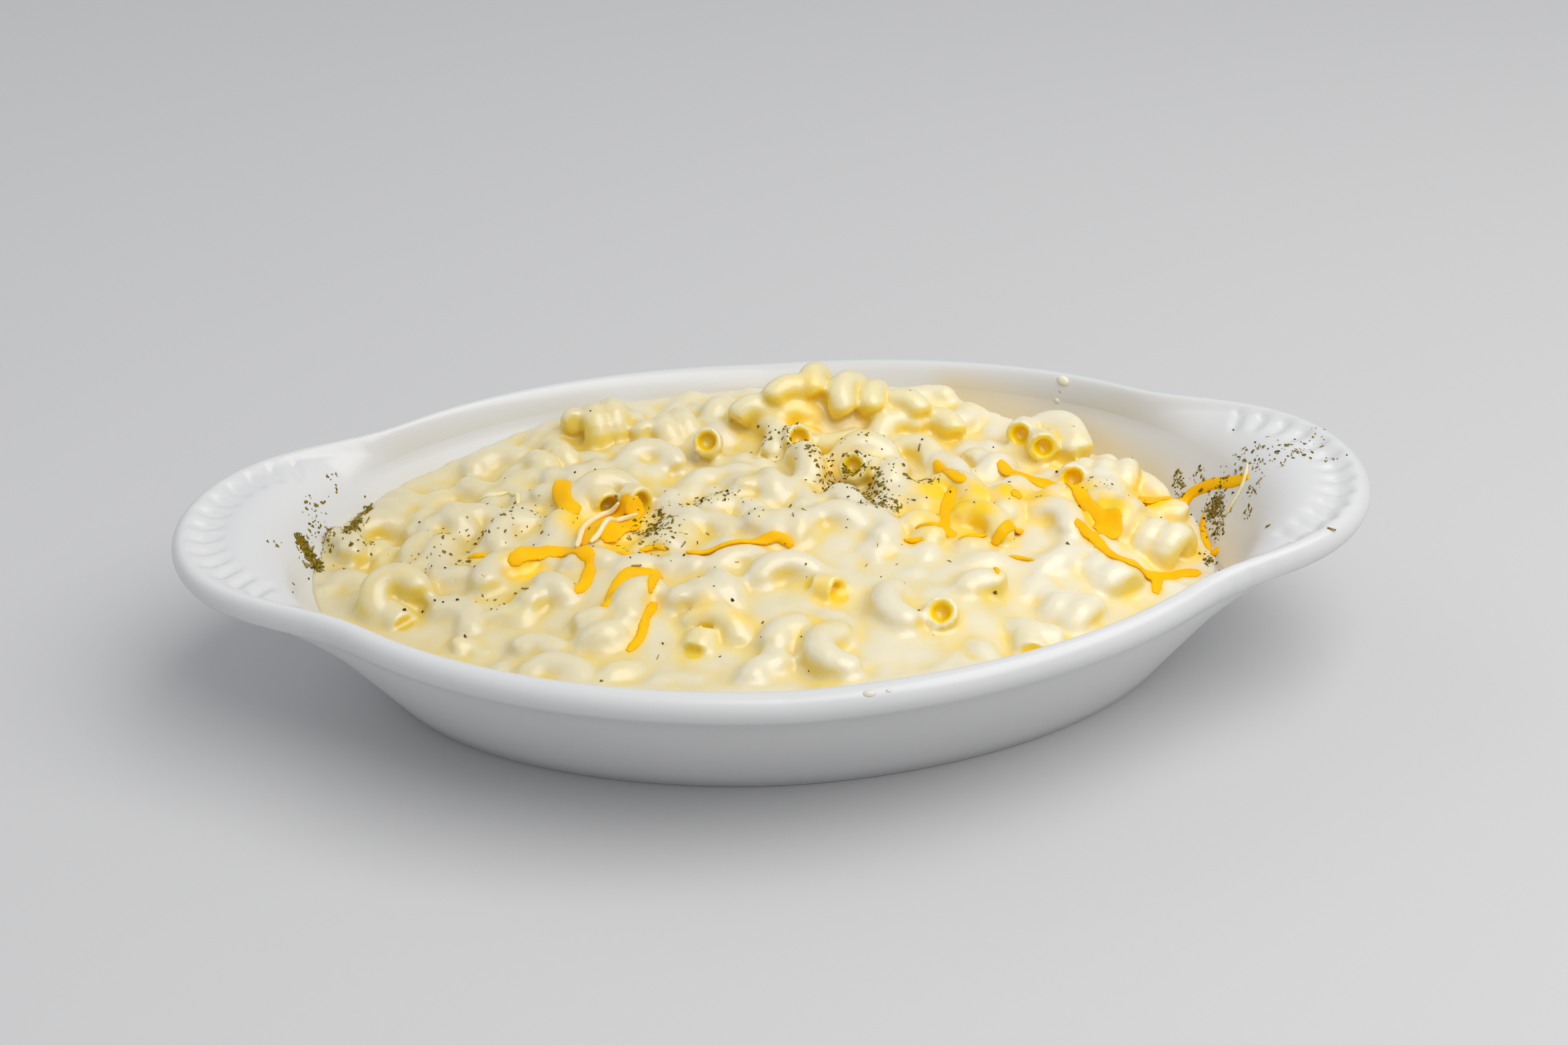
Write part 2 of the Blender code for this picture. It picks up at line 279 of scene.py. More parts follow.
    @staticmethod
    def surface(*pieces: Piece) -> BVHTree:
        """A search tree over the objects' faces.

        Args:
            pieces: the objects to search.

        Returns:
            The tree, in the row's frame.
        """
        points: list[Vector] = []
        faces: list[tuple[int, ...]] = []
        for piece in pieces:
            start = len(points)
            points.extend(vertex.co.copy() for vertex in piece.data.vertices)
            faces.extend(tuple(start + i for i in f.vertices) for f in piece.data.polygons)
        return BVHTree.FromPolygons(points, faces)

    @staticmethod
    def below(ground: BVHTree, x: float, y: float) -> tuple[Vector | None, Vector | None]:
        """The highest place of the ground at x and y and the way it faces, None where there is none."""
        return ground.ray_cast(Vector((x, y, RAY_START)), Vector((0, 0, -1)))[:2]

    @classmethod
    def dressed(cls, piece: Piece, finish: "Finish", slot: str) -> None:
        """Gives the object its finish, smooth shading and its body.

        Args:
            piece: the finished object.
            finish: what it is made of.
            slot: the record's material slot; not used.
        """
        piece.data.materials.clear()
        piece.data.materials.append(finish.material())
        cls.only(piece)
        bpy.ops.object.shade_smooth()
        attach(piece, BODY)


@dataclass(frozen=True)
class DishShape:
    """The dish's sizes and the outlines that follow from them."""

    length: float = 283.6 * MM
    width: float = 153 * MM
    rim_height: float = 43 * MM
    ear_rise: float = 5.3 * MM
    ear_rise_power: float = 1.15
    lip_radius: float = 3.65 * MM
    ear_radius: float = 37.2 * MM
    body_half_length: float = 119.8 * MM
    wall_across: float = 5.8 * MM
    wall_top_height: float = 33.5 * MM
    wall_top_half_length: float = 116.8 * MM
    wall_top_half_width: float = 70.5 * MM
    well_top_height: float = 39 * MM
    foot_half_length: float = 95.1 * MM
    foot_half_width: float = 50.6 * MM
    foot_power: float = 1.87
    foot_edge: float = 0.4 * MM
    foot_ring_width: float = 6 * MM
    foot_recess: float = 1.2 * MM
    floor_height: float = 6.5 * MM
    floor_fillet: float = 12 * MM
    lip_overhang: float = 7.5 * MM
    ear_overhang: float = 4.6 * MM
    ear_thinning_start: float = 94.8 * MM
    ear_thinning_length: float = 40 * MM
    underside_edge: float = 1.28 * MM
    underside_fillet: float = 9 * MM
    bead_drop: float = 1.4 * MM
    bead_slope: float = 4.5 * MM
    rollover_reach: float = 13 * MM
    rollover_sine: float = 0.82
    blend_power: int = 21
    # Directions either side, in degrees, that the outline is averaged over, with their weights.
    easing: tuple[tuple[float, float], ...] = ((0.0, 0.12), (2.0, 0.2), (4.0, 0.13), (6.0, 0.05))

    @property
    def half_length(self) -> float:
        """Half of the length over the ears."""
        return self.length / 2

    @property
    def ear_centre(self) -> float:
        """Distance from the middle to the centre of an ear's round end."""
        return self.half_length - self.ear_radius

    @staticmethod
    def oval(angle: Array, long: float, short: float, power: float = 2.0) -> Array:
        """Distance from the middle to an oval in each direction.

        Args:
            angle: the directions.
            long: half of the oval's length.
            short: half of its width.
            power: 2 for an ellipse; lower values are more pointed.

        Returns:
            One distance per direction.
        """
        across = np.abs(np.cos(angle) / long) ** power
        return (across + np.abs(np.sin(angle) / short) ** power) ** (-1 / power)

    def sharp_rim(self, angle: Array) -> Array:
        """The outline of an oval and two round ears, with corners where they meet.

        Args:
            angle: the directions.

        Returns:
            One distance from the middle per direction.
        """
        body = self.oval(angle, self.body_half_length, self.width / 2)
        offset = self.ear_centre * np.abs(np.sin(angle))
        depth = np.sqrt(np.maximum(self.ear_radius**2 - offset**2, 0.0))
        ear = np.where(depth > 0, self.ear_centre * np.abs(np.cos(angle)) + depth, 0.0)
        return (body**self.blend_power + ear**self.blend_power) ** (1 / self.blend_power)

    def rim(self, angle: Array) -> Array:
        """The outermost outline, with the corners beside the ears eased.

        Args:
            angle: the directions.

        Returns:
            One distance from the middle per direction.
        """
        total = 0.0
        for degrees, weight in self.easing:
            offset = math.radians(degrees)
            total = total + weight * (self.sharp_rim(angle - offset) + self.sharp_rim(angle + offset))
        return total

    def crown(self, angle: Array) -> Array:
        """The outline of the lip's crown."""
        return self.rim(angle) - self.lip_radius

    def crown_height(self, x: Array) -> Array:
        """Height of the lip's crown, which climbs slowly towards the ears."""
        share = np.abs(x) / self.half_length
        return self.rim_height + self.ear_rise * share**self.ear_rise_power

    def outer_wall(self, angle: Array, height: Array) -> Array:
        """The outline of the straight, slanting outer wall at a height."""
        foot = self.oval(angle, self.foot_half_length, self.foot_half_width, self.foot_power)
        top = self.oval(angle, self.wall_top_half_length, self.wall_top_half_width)
        return foot + (top - foot) * height / self.wall_top_height

    def inner_wall(self, angle: Array, height: Array) -> Array:
        """The outline of the well's wall at a height, with the fillet at its floor.

        Args:
            angle: the directions.
            height: the height, or one for each direction.

        Returns:
            One distance from the middle per direction.
        """
        radius = self.outer_wall(angle, height) - self.wall_across
        below = np.maximum(self.floor_fillet - (height - self.floor_height), 0.0)
        inside = np.maximum(self.floor_fillet**2 - below**2, 0.0)
        return radius - (self.floor_fillet - np.sqrt(inside))

    def flange_drop(self, run: Array, flange: Array, full: Array) -> Array:
        """How far the flange's top lies under the crown.

        Args:
            run: distance inwards from the crown.
            flange: the flange's width there.
            full: the drop where the flange meets the well.

        Returns:
            One drop per point.
        """
        bead = self.bead_drop * smooth_step(run / self.bead_slope)
        bead_at_well = self.bead_drop * smooth_step(flange / self.bead_slope)
        reach = np.minimum(flange, self.rollover_reach)
        turn = self.rollover_sine * np.maximum(0.0, (run - (flange - reach)) / reach)
        arc = (1 - np.sqrt(1 - turn**2)) / (1 - math.sqrt(1 - self.rollover_sine**2))
        return bead + (full - bead_at_well) * arc

    @staticmethod
    def placed(angle: Array, radius: Array, height: Array) -> Array:
        """Points from their directions, distances from the middle and heights."""
        height = np.broadcast_to(height, angle.shape)
        return np.stack((radius * np.cos(angle), radius * np.sin(angle), height), axis=-1)

    def flange_ring(self, angle: Array, share: float) -> Array:
        """Points on the top of the flange.

        Args:
            angle: the directions.
            share: 0 on the crown and 1 at the well.

        Returns:
            One point per direction.
        """
        crown = self.crown(angle)
        flange = crown - self.inner_wall(angle, self.well_top_height)
        height = self.crown_height(crown * np.cos(angle))
        drop = self.flange_drop(share * flange, flange, height - self.well_top_height)
        return self.placed(angle, crown - share * flange, height - drop)

    def bead_ring(self, angle: Array, turn: float) -> Array:
        """Points on the lip's rounded outer side.

        Args:
            angle: the directions.
            turn: how far over from its crown, in radians.

        Returns:
            One point per direction.
        """
        crown = self.crown(angle)
        height = self.crown_height(crown * np.cos(angle))
        radius = crown + self.lip_radius * math.sin(turn)
        return self.placed(angle, radius, height - self.lip_radius * (1 - math.cos(turn)))

    def underside_ring(self, angle: Array, share: float) -> Array:
        """Points on the underside of the lip.

        Args:
            angle: the directions.
            share: 0 at its outer edge and 1 at the foot of the wall's fillet.

        Returns:
            One point per direction.
        """
        crown = self.crown(angle)
        x = crown * np.cos(angle)
        along = (np.abs(x) - self.ear_thinning_start) / self.ear_thinning_length
        thinner = self.ear_overhang - self.lip_overhang
        overhang = self.lip_overhang + thinner * np.clip(along, 0.0, 1.0)
        edge = crown + self.underside_edge
        height = self.crown_height(x) - overhang
        corner = self.placed(angle, self.outer_wall(angle, self.wall_top_height), self.wall_top_height)
        low = self.wall_top_height - self.underside_fillet
        start = self.placed(angle, edge, height)
        end = self.placed(angle, self.outer_wall(angle, low), low)
        return start * (1 - share) ** 2 + corner * 2 * share * (1 - share) + end * share**2


@dataclass(frozen=True)
class Fluting:
    """The fan of shallow troughs on the top of each ear."""

    count: int = 13
    pitch: float = math.radians(11)
    inner: float = 23.6 * MM
    outer: float = 34.2 * MM
    width: float = 4.3 * MM
    depth: float = 1.05 * MM
    inner_fade: float = 4 * MM
    outer_fade: float = 2.8 * MM

    def drop(self, shape: DishShape, x: Array, y: Array) -> Array:
        """How far the troughs lie below the flange's top.

        Args:
            shape: the dish.
            x: places along the dish.
            y: places across it.

        Returns:
            One depth per place, 0 outside the troughs.
        """
        out = np.abs(x) - shape.ear_centre
        radius = np.hypot(out, y)
        turn = np.arctan2(y, out)
        most = (self.count - 1) / 2
        nearest = np.clip(np.rint(turn / self.pitch), -most, most)
        aside = radius * (turn - nearest * self.pitch)
        across = np.cos(np.clip(aside / self.width, -0.5, 0.5) * math.pi) ** 2
        start = smooth_step((radius - self.inner) / self.inner_fade)
        end = smooth_step((self.outer - radius) / self.outer_fade)
        return self.depth * across * start * end


class Shading:
    """The nodes of a material or of a node group, with short ways to add to them."""

    def __init__(self, tree: Tree) -> None:
        """Works on this node tree."""
        self.tree = tree

    def feed(self, socket: Socket, value: object) -> None:
        """Links a socket to the one given as its value, or sets it to a plain value."""
        if isinstance(value, Socket):
            self.tree.links.new(value, socket)
        else:
            socket.default_value = value

    def set_inputs(self, node: bpy.types.Node, **inputs: object) -> None:
        """Feeds a node's inputs by name, with _ for a space in a name."""
        for key, value in inputs.items():
            self.feed(node.inputs[key.replace("_", " ")], value)

    def add(self, kind: str, **inputs: object) -> bpy.types.Node:
        """Adds a node of this kind and feeds its inputs."""
        node = self.tree.nodes.new(kind)
        self.set_inputs(node, **inputs)
        return node

    def stored(self, name: str) -> Socket:
        """The socket that gives one of the piece's stored values."""
        node = self.add("ShaderNodeAttribute")
        node.attribute_name = name
        return node.outputs["Fac"]

    def math(self, operation: str, *values: object) -> Socket:
        """The result of one sum on numbers or sockets.

        Args:
            operation: the sum, such as MULTIPLY.
            values: numbers or sockets.

        Returns:
            The socket with the result.
        """
        node = self.add("ShaderNodeMath")
        node.operation = operation
        for socket, value in zip(node.inputs, values):
            self.feed(socket, value)
        return node.outputs["Value"]

    def share(self, value: Socket) -> Socket:
        """The value kept between 0 and 1."""
        return self.math("MINIMUM", self.math("MAXIMUM", value, 0.0), 1.0)

    def mixed(self, share: object, first: object, second: object) -> Socket:
        """A colour between two colours.

        Args:
            share: how much of the second colour, a number or a socket.
            first: a colour or a socket.
            second: a colour or a socket.

        Returns:
            The socket with the colour.
        """
        node = self.add("ShaderNodeMix")
        node.data_type = "RGBA"
        for name, value in (("Factor_Float", share), ("A_Color", first), ("B_Color", second)):
            self.feed(next(s for s in node.inputs if s.identifier == name), value)
        return next(s for s in node.outputs if s.identifier == "Result_Color")

    def clouds(self, scale: float, **others: float) -> bpy.types.bpy_prop_collection:
        """Places the shared clouds.

        Args:
            scale: how many clouds to a metre.
            others: values for the group's other inputs.

        Returns:
            The group's outputs.
        """
        node = self.add("ShaderNodeGroup")
        node.node_tree = clouds_group()
        self.set_inputs(node, Scale=scale, **others)
        return node.outputs

    def bumped(self, height: Socket, distance: float, strength: float) -> Socket:
        """The normals of a surface with these heights.

        Args:
            height: the heights, 0 to 1.
            distance: what a height of 1 stands for, in metres.
            strength: how much of it shows.

        Returns:
            The socket with the normals.
        """
        bump = self.add("ShaderNodeBump", Height=height, Distance=distance, Strength=strength)
        return bump.outputs["Normal"]

    def finish(self, **inputs: object) -> None:
        """Feeds the inputs of the material's own shader."""
        self.set_inputs(self.tree.nodes["Principled BSDF"], **inputs)


def clouds_group() -> Tree:
    """The effect that every finish shares: cloudy values over the piece's own coordinates.

    It is built on first use. Its inputs are the clouds' Scale per metre and Detail, and
    the Gain and Offset of the mask. Its outputs are the plain Value and the Mask, which
    is Value * Gain + Offset kept between 0 and 1.

    Returns:
        The node group.
    """
    group = bpy.data.node_groups.get("clouds")
    if group is not None:
        return group
    group = bpy.data.node_groups.new("clouds", "ShaderNodeTree")
    for name, usual in (("Scale", 100.0), ("Detail", 2.0), ("Gain", 1.0), ("Offset", 0.0)):
        socket = group.interface.new_socket(name, in_out="INPUT", socket_type="NodeSocketFloat")
        socket.default_value = usual
    for name in ("Value", "Mask"):
        group.interface.new_socket(name, in_out="OUTPUT", socket_type="NodeSocketFloat")
    shading = Shading(group)
    given = shading.add("NodeGroupInput").outputs
    place = shading.add("ShaderNodeTexCoord").outputs["Object"]
    texture = shading.add("ShaderNodeTexNoise", Vector=place)
    shading.set_inputs(texture, Scale=given["Scale"], Detail=given["Detail"])
    value = texture.outputs["Fac"]
    mask = shading.share(shading.math("MULTIPLY_ADD", value, given["Gain"], given["Offset"]))
    shading.add("NodeGroupOutput", Value=value, Mask=mask)
    return group


class Finish:
    """What a piece is made of."""

    name: str
    cache: dict[str, bpy.types.Material] = {}

    def material(self) -> bpy.types.Material:
        """The material, made on first use."""
        if self.name not in Finish.cache:
            made = bpy.data.materials.new(self.name)
            made.use_nodes = True
            Finish.cache[self.name] = made
            self.dress(Shading(made.node_tree))
        return Finish.cache[self.name]

    def dress(self, shading: Shading) -> None:
        """Sets the shader up. Each finish has its own way."""
        raise NotImplementedError


@dataclass(frozen=True)
class Glaze(Finish):
    """Glossy white glaze on stoneware, with a thin film of sauce where it has run."""

    name: str = "white_glaze"
    color: Color = (0.71, 0.71, 0.705, 1)
    shade: Color = (0.665, 0.67, 0.67, 1)
    film: Color = (0.72, 0.60, 0.36, 1)

    def dress(self, shading: Shading) -> None:
        """Sets up the glaze's colour, gloss and the film."""
        clay = shading.mixed(shading.clouds(30.0)["Value"], self.color, self.shade)
        shading.finish(
            Base_Color=shading.mixed(shading.stored("film"), clay, self.film),
            Normal=shading.bumped(shading.clouds(90.0)["Value"], 0.0003, 0.25),
            Roughness=0.32,
            Coat_Weight=0.15,
            Coat_Roughness=0.12,
        )


@dataclass(frozen=True)
class CheeseSauce(Finish):
    """Thick cream-coloured cheese sauce over macaroni.

    It reads these values of each point: how far it lies in a noodle's open bore, how
    little sauce covers the noodle there, how steep it is, how far it faces down, how deep
    it lies in a narrow or a wide dent, and how much cheese has melted into it. It paints
    shade by the bore, the steep and downward faces and the dents.
    """

    reads = ("hollow", "bare", "side", "under", "crease", "cavity", "melt")
    name: str = "cheese_sauce"
    cream: Color = (0.855, 0.80, 0.625, 1)
    # Painted shade: the cream towards the -X end, where painted light falls off.
    falloff_cream: Color = (0.705, 0.62, 0.385, 1)
    pasta: Color = (0.93, 0.76, 0.20, 1)
    # Cloudy patches of warmer sauce, and painted shade on steep faces and in wide dents.
    warm_and_shaded: Color = (0.79, 0.60, 0.10, 1)
    # Painted shade: the deep yellow towards the -X end, where painted light falls off.
    deep_falloff: Color = (0.70, 0.49, 0.03, 1)
    # Painted shade in narrow creases and under bare noodles; in open bores it stands for the bare pasta
    # inside, painted darker as shade.
    deep: Color = (1.0, 0.69, 0.0, 1)
    melted: Color = (1.0, 0.65, 0.0, 1)
    cloud_scale: float = 75.0
    cloud_detail: float = 3.0

    def dress(self, shading: Shading) -> None:
        """Sets up the sauce: cream on top, with painted shade warmer on slopes and deeper yellow in
        hollows.

        Args:
            shading: the material's nodes.
        """
        math_of, mixed = shading.math, shading.mixed
        look = {name: shading.stored(name) for name in self.reads}
        broad = shading.clouds(self.cloud_scale, Detail=self.cloud_detail, Gain=2.0, Offset=-1.05)
        spots = shading.clouds(self.cloud_scale, Detail=self.cloud_detail, Gain=4.5, Offset=-1.1)
        # Painted light falloff: the cream and the deep yellow darken towards the -X end.
        bright = self.painted_falloff(shading)
        # Painted shade: warmer colour on steep faces and in wide dents, over cloudy patches of warmer
        # sauce.
        side = math_of("MULTIPLY", look["side"], math_of("ADD", broad["Value"], 0.45))
        shade_and_warm_share = math_of("ADD", broad["Mask"], side)
        shade_and_warm_share = math_of("MINIMUM", math_of("MULTIPLY_ADD", look["cavity"], 0.15, shade_and_warm_share), 1.0)
        color = mixed(shade_and_warm_share, mixed(bright, self.falloff_cream, self.cream), self.warm_and_shaded)
        color = mixed(math_of("MULTIPLY", look["bare"], 0.45), color, self.pasta)
        # Painted shade: deep yellow in narrow creases, under bare noodles and in open bores.
        crease = math_of("MULTIPLY", look["crease"], math_of("MULTIPLY", broad["Value"], 1.1))
        under = math_of("MULTIPLY", look["bare"], look["under"])
        depth = math_of("MAXIMUM", look["hollow"], math_of("MAXIMUM", crease, under))
        color = mixed(depth, color, mixed(bright, self.deep_falloff, self.deep))
        melt = math_of("MINIMUM", math_of("MULTIPLY", look["melt"], spots["Mask"]), 1.0)
        shading.finish(
            Base_Color=mixed(melt, color, self.melted),
            Normal=shading.bumped(shading.clouds(420.0, Detail=3.0)["Value"], 0.0004, 0.3),
            Roughness=0.36,
            Specular_IOR_Level=0.5,
            Subsurface_Weight=0.35,
            Subsurface_Radius=(1.0, 0.85, 0.4),
            Subsurface_Scale=0.0028,
            Coat_Weight=0.6,
            Coat_Roughness=0.24,
        )

    @staticmethod
    def painted_falloff(shading: Shading) -> Socket:
        """Painted light falloff: how lit the cream looks along the dish, less towards its -X end."""
        place = shading.add("ShaderNodeTexCoord").outputs["Object"]
        along = shading.add("ShaderNodeSeparateXYZ", Vector=place).outputs["X"]
        return shading.share(shading.math("MULTIPLY_ADD", along, 5.5, 0.55))

    @classmethod
    def plain(cls, piece: Piece) -> None:
        """Dresses a piece in plain cream sauce."""
        for name in cls.reads:
            Workshop.with_values(piece, name, np.zeros(len(piece.data.vertices)))
        Workshop.dressed(piece, cls(), "cheese_sauce")


@dataclass(frozen=True)
class Cheddar(Finish):
    """Grated cheddar, softened by the heat."""

    name: str = "cheddar"
    color: Color = (0.95, 0.41, 0.0, 1)
    pale: Color = (1.0, 0.60, 0.0, 1)

    def dress(self, shading: Shading) -> None:
        """Sets up the cheese's colour and its soft shine."""
        shading.finish(
            Base_Color=shading.mixed(shading.clouds(160.0)["Value"], self.color, self.pale),
            Normal=shading.bumped(shading.clouds(700.0)["Value"], 0.0002, 0.3),
            Roughness=0.45,
            Specular_IOR_Level=0.12,
            Subsurface_Weight=0.2,
            Subsurface_Radius=(1.0, 0.6, 0.05),
            Subsurface_Scale=0.002,
        )


@dataclass(frozen=True)
class PlainFinish(Finish):
    """A finish of one colour that goes over into another in patches."""

    name: str
    color: Color
    other: Color
    patch_scale: float = 900.0
    roughness: float = 0.8
    soft: float = 0.0
    shine: float = 0.15

    def dress(self, shading: Shading) -> None:
        """Sets up the two colours and the shine."""
        share = shading.clouds(self.patch_scale, Gain=3.0, Offset=-1.0)["Mask"]
        shading.finish(
            Base_Color=shading.mixed(share, self.color, self.other),
            Roughness=self.roughness,
            Specular_IOR_Level=self.shine,
            Subsurface_Weight=self.soft,
            Subsurface_Scale=0.002,
        )


PALE_CHEESE = PlainFinish(
    "pale_cheese",
    (0.88, 0.79, 0.52, 1),
    (0.90, 0.74, 0.36, 1),
    patch_scale=300.0,
    roughness=0.35,
    soft=0.3,
    shine=0.5,
)
DRIED_LEAF = PlainFinish("dried_leaf", (0.33, 0.23, 0.01, 1), (0.11, 0.075, 0.003, 1))
BLACK_PEPPER = PlainFinish("black_pepper", (0.03, 0.022, 0.012, 1), (0.08, 0.045, 0.018, 1), roughness=0.7)
DRIED_STALK = PlainFinish("dried_stalk", (0.26, 0.16, 0.035, 1), (0.42, 0.32, 0.10, 1))
FLOOR_GREY = (0.6, 0.6, 0.6, 1)
FLOOR_PAINT = PlainFinish("floor_paint", FLOOR_GREY, FLOOR_GREY, 1.0, roughness=0.7, shine=0.5)


@dataclass(frozen=True)
class Film:
    """A patch of the well's wall with a thin film of sauce, between two directions in degrees."""

    start: float
    end: float
    reach: float
    strength: float


@dataclass
class GratinDish:
    """The white dish."""

    shape: DishShape = DishShape()
    fluting: Fluting = Fluting()
    quarter: int = 160
    outline_steps: int = 2001
    floor_share: float = 0.5
    fillet_rings: int = 7
    wall_rings: int = 10
    flange_rings: int = 37
    bead_rings: int = 11
    bead_degrees: Span = (10, 125)
    underside_rings: int = 10
    underside_start: float = 0.04
    outside_shares: tuple[float, ...] = (0.25, 0.5, 0.75, 0.98)
    films: tuple[Film, ...] = (
        Film(10, 58, 10 * MM, 0.85),
        Film(60, 120, 3 * MM, 0.2),
        Film(150, 172, 3 * MM, 0.15),
    )
    # A film fades over this share of its half width at each side. It lies on the well's wall
    # above its bottom and on the flange up to the lip gap, and takes in points this far into
    # the wall.
    film_fade: float = 0.3
    film_bottom: float = 12 * MM
    film_lip_gap: float = 1.5 * MM
    film_wall_reach: float = 1 * MM

    def angles(self) -> Array:
        """Directions that cut the rim into stretches of equal length, the same in each quarter."""
        fine = np.linspace(0, math.pi / 2, self.outline_steps)
        radius = self.shape.rim(fine)
        points = np.stack((radius * np.cos(fine), radius * np.sin(fine)), axis=-1)
        steps = np.linalg.norm(np.diff(points, axis=0), axis=1)
        run = np.concatenate(([0.0], np.cumsum(steps)))
        first = np.interp(np.linspace(0, run[-1], self.quarter + 1), run, fine)
        half = np.concatenate((first, math.pi - first[-2::-1]))
        return np.concatenate((half, math.pi + half[1:-1]))

    def rings(self, angle: Array) -> Array:
        """Every ring of the dish, from its floor up, over the lip and down to the foot.

        Args:
            angle: the directions.

        Returns:
            The rings, as rings x points x 3.
        """
        shape = self.shape
        floor = shape.inner_wall(angle, shape.floor_height) * self.floor_share
        rings = [shape.placed(angle, floor, shape.floor_height)]
        quarter_turn = np.linspace(0, math.pi / 2, self.fillet_rings)
        fillet = shape.floor_height + shape.floor_fillet * (1 - np.cos(quarter_turn))
        walls = np.linspace(fillet[-1], shape.well_top_height, self.wall_rings)[1:-1]
        for height in (*fillet, *walls):
            rings.append(shape.placed(angle, shape.inner_wall(angle, height), height))
        for share in np.linspace(1, 0, self.flange_rings):
            ring = shape.flange_ring(angle, float(share))
            ring[:, 2] -= self.fluting.drop(shape, ring[:, 0], ring[:, 1])
            rings.append(ring)
        for degrees in np.linspace(*self.bead_degrees, self.bead_rings):
            rings.append(shape.bead_ring(angle, math.radians(degrees)))
        for share in np.linspace(self.underside_start, 1, self.underside_rings):
            rings.append(shape.underside_ring(angle, float(share)))
        for share in self.outside_shares:
            height = (shape.wall_top_height - shape.underside_fillet) * (1 - share)
            rings.append(shape.placed(angle, shape.outer_wall(angle, height), height))
        foot = shape.outer_wall(angle, 0.0)
        recess = shape.foot_ring_width + shape.foot_recess
        steps = ((shape.foot_edge, 0.0), (shape.foot_ring_width, 0.0), (recess, shape.foot_recess))
        for inset, height in steps:
            rings.append(shape.placed(angle, foot - inset, height))
        return np.array(rings)

    def film_values(self, places: Array) -> Array:
        """How much sauce film lies on each point of the dish.

        Args:
            places: the dish's points.

        Returns:
            One value per point, 0 for clean glaze.
        """
        shape = self.shape
        angle = np.arctan2(places[:, 1], places[:, 0])
        degrees = np.degrees(angle)
        height = places[:, 2]
        level = np.clip(height, shape.floor_height, shape.well_top_height)
        well = shape.inner_wall(angle, level) + self.film_wall_reach
        flange = shape.crown(angle) - self.film_lip_gap
        most = np.where(height < shape.well_top_height, well, flange)
        inside = np.hypot(places[:, 0], places[:, 1]) < most
        edge = Heap().edge_height(angle)
        total = np.zeros(len(places))
        for film in self.films:
            middle, half = (film.start + film.end) / 2, (film.end - film.start) / 2
            sideways = smooth_step((half - np.abs(degrees - middle)) / (self.film_fade * half))
            above = (height - edge) / film.reach
            total = np.maximum(total, film.strength * sideways * (1 - smooth_step(above)))
        return np.where(inside & (height > self.film_bottom), total, 0.0)

    def build(self) -> Piece:
        """Builds and dresses the dish.

        Returns:
            The dish, which stands for the CAD node of the same name.
        """
        dish = Workshop.ring_stack("white_dish", self.rings(self.angles()), Ends.CAPPED)
        Workshop.with_values(dish, "film", self.film_values(Workshop.points(dish)))
        Workshop.dressed(dish, Glaze(), "white_glaze")
        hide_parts("dish")
        return dish


@dataclass(frozen=True)
class Rise:
    """A broad swelling of the heap: its place, half sizes and height."""

    x: float
    y: float
    half_length: float
    half_width: float
    height: float


@dataclass(frozen=True)
class Heap:
    """The height of the heap of food over the dish."""

    shape: DishShape = DishShape()
    sauce_edge: float = 38.6 * MM
    right_end_drop: float = 12.5 * MM
    right_end_start: float = 0.5
    right_end_power: float = 1.5
    left_end_drop: float = 6.0 * MM
    left_end_start: float = 0.6
    edge_blend: float = 0.5
    rise_blend: float = 0.12
    front_start: float = 10 * MM
    front_length: float = 45 * MM
    front_shallower: float = 0.42
    rises: tuple[Rise, ...] = (
        Rise(-8 * MM, -4 * MM, 74 * MM, 44 * MM, 5.0 * MM),
        Rise(12 * MM, 54 * MM, 25 * MM, 9 * MM, 11.0 * MM),
        Rise(72 * MM, 38 * MM, 11 * MM, 9 * MM, 8.0 * MM),
        Rise(86 * MM, 10 * MM, 13 * MM, 22 * MM, 8.0 * MM),
        Rise(-91 * MM, -12 * MM, 11 * MM, 11 * MM, 3.0 * MM),
        Rise(-45 * MM, 52 * MM, 16 * MM, 8 * MM, 3.5 * MM),
    )

    def edge_height(self, angle: Array) -> Array:
        """Where the sauce meets the wall in each direction.

        Args:
            angle: the directions.

        Returns:
            One height per direction.
        """
        right, left = self.right_end_start, self.left_end_start
        to_right = np.maximum(0.0, np.cos(angle) - right) / (1 - right)
        to_left = np.maximum(0.0, -np.cos(angle) - left) / (1 - left)
        right_drop = self.right_end_drop * to_right**self.right_end_power
        return self.sauce_edge - right_drop - self.left_end_drop * to_left

    def share_out(self, x: Array, y: Array) -> Array:
        """How far out a place lies, 0 in the middle and 1 at the wall."""
        angle = np.arctan2(y, x)
        return np.hypot(x, y) / self.shape.inner_wall(angle, self.edge_height(angle))

    def top(self, x: Array, y: Array) -> Array:
        """The height that the pasta's tops reach at each place.

        Args:
            x: places along the dish.
            y: places across it.

        Returns:
            One height per place.
        """
        inwards = 1 - self.share_out(x, y)
        edge = self.edge_height(np.arctan2(y, x))
        height = self.sauce_edge + (edge - self.sauce_edge) * (1 - smooth_step(inwards / self.edge_blend))
        rise = 0.0
        for swell in self.rises:
            along = (x - swell.x) / swell.half_length
            across = (y - swell.y) / swell.half_width
            rise = rise + swell.height * np.exp(-(along**2) - across**2)
        return height + smooth_step(inwards / self.rise_blend) * rise

    def bed(self, x: Array, y: Array, depth: float) -> Array:
        """The height of the sauce between the pasta: up to depth lower, and less so at the front."""
        to_front = smooth_step((self.front_start - y) / self.front_length)
        depth = depth * (1 - self.front_shallower * to_front)
        return self.top(x, y) - depth * smooth_step((1 - self.share_out(x, y)) / self.rise_blend)


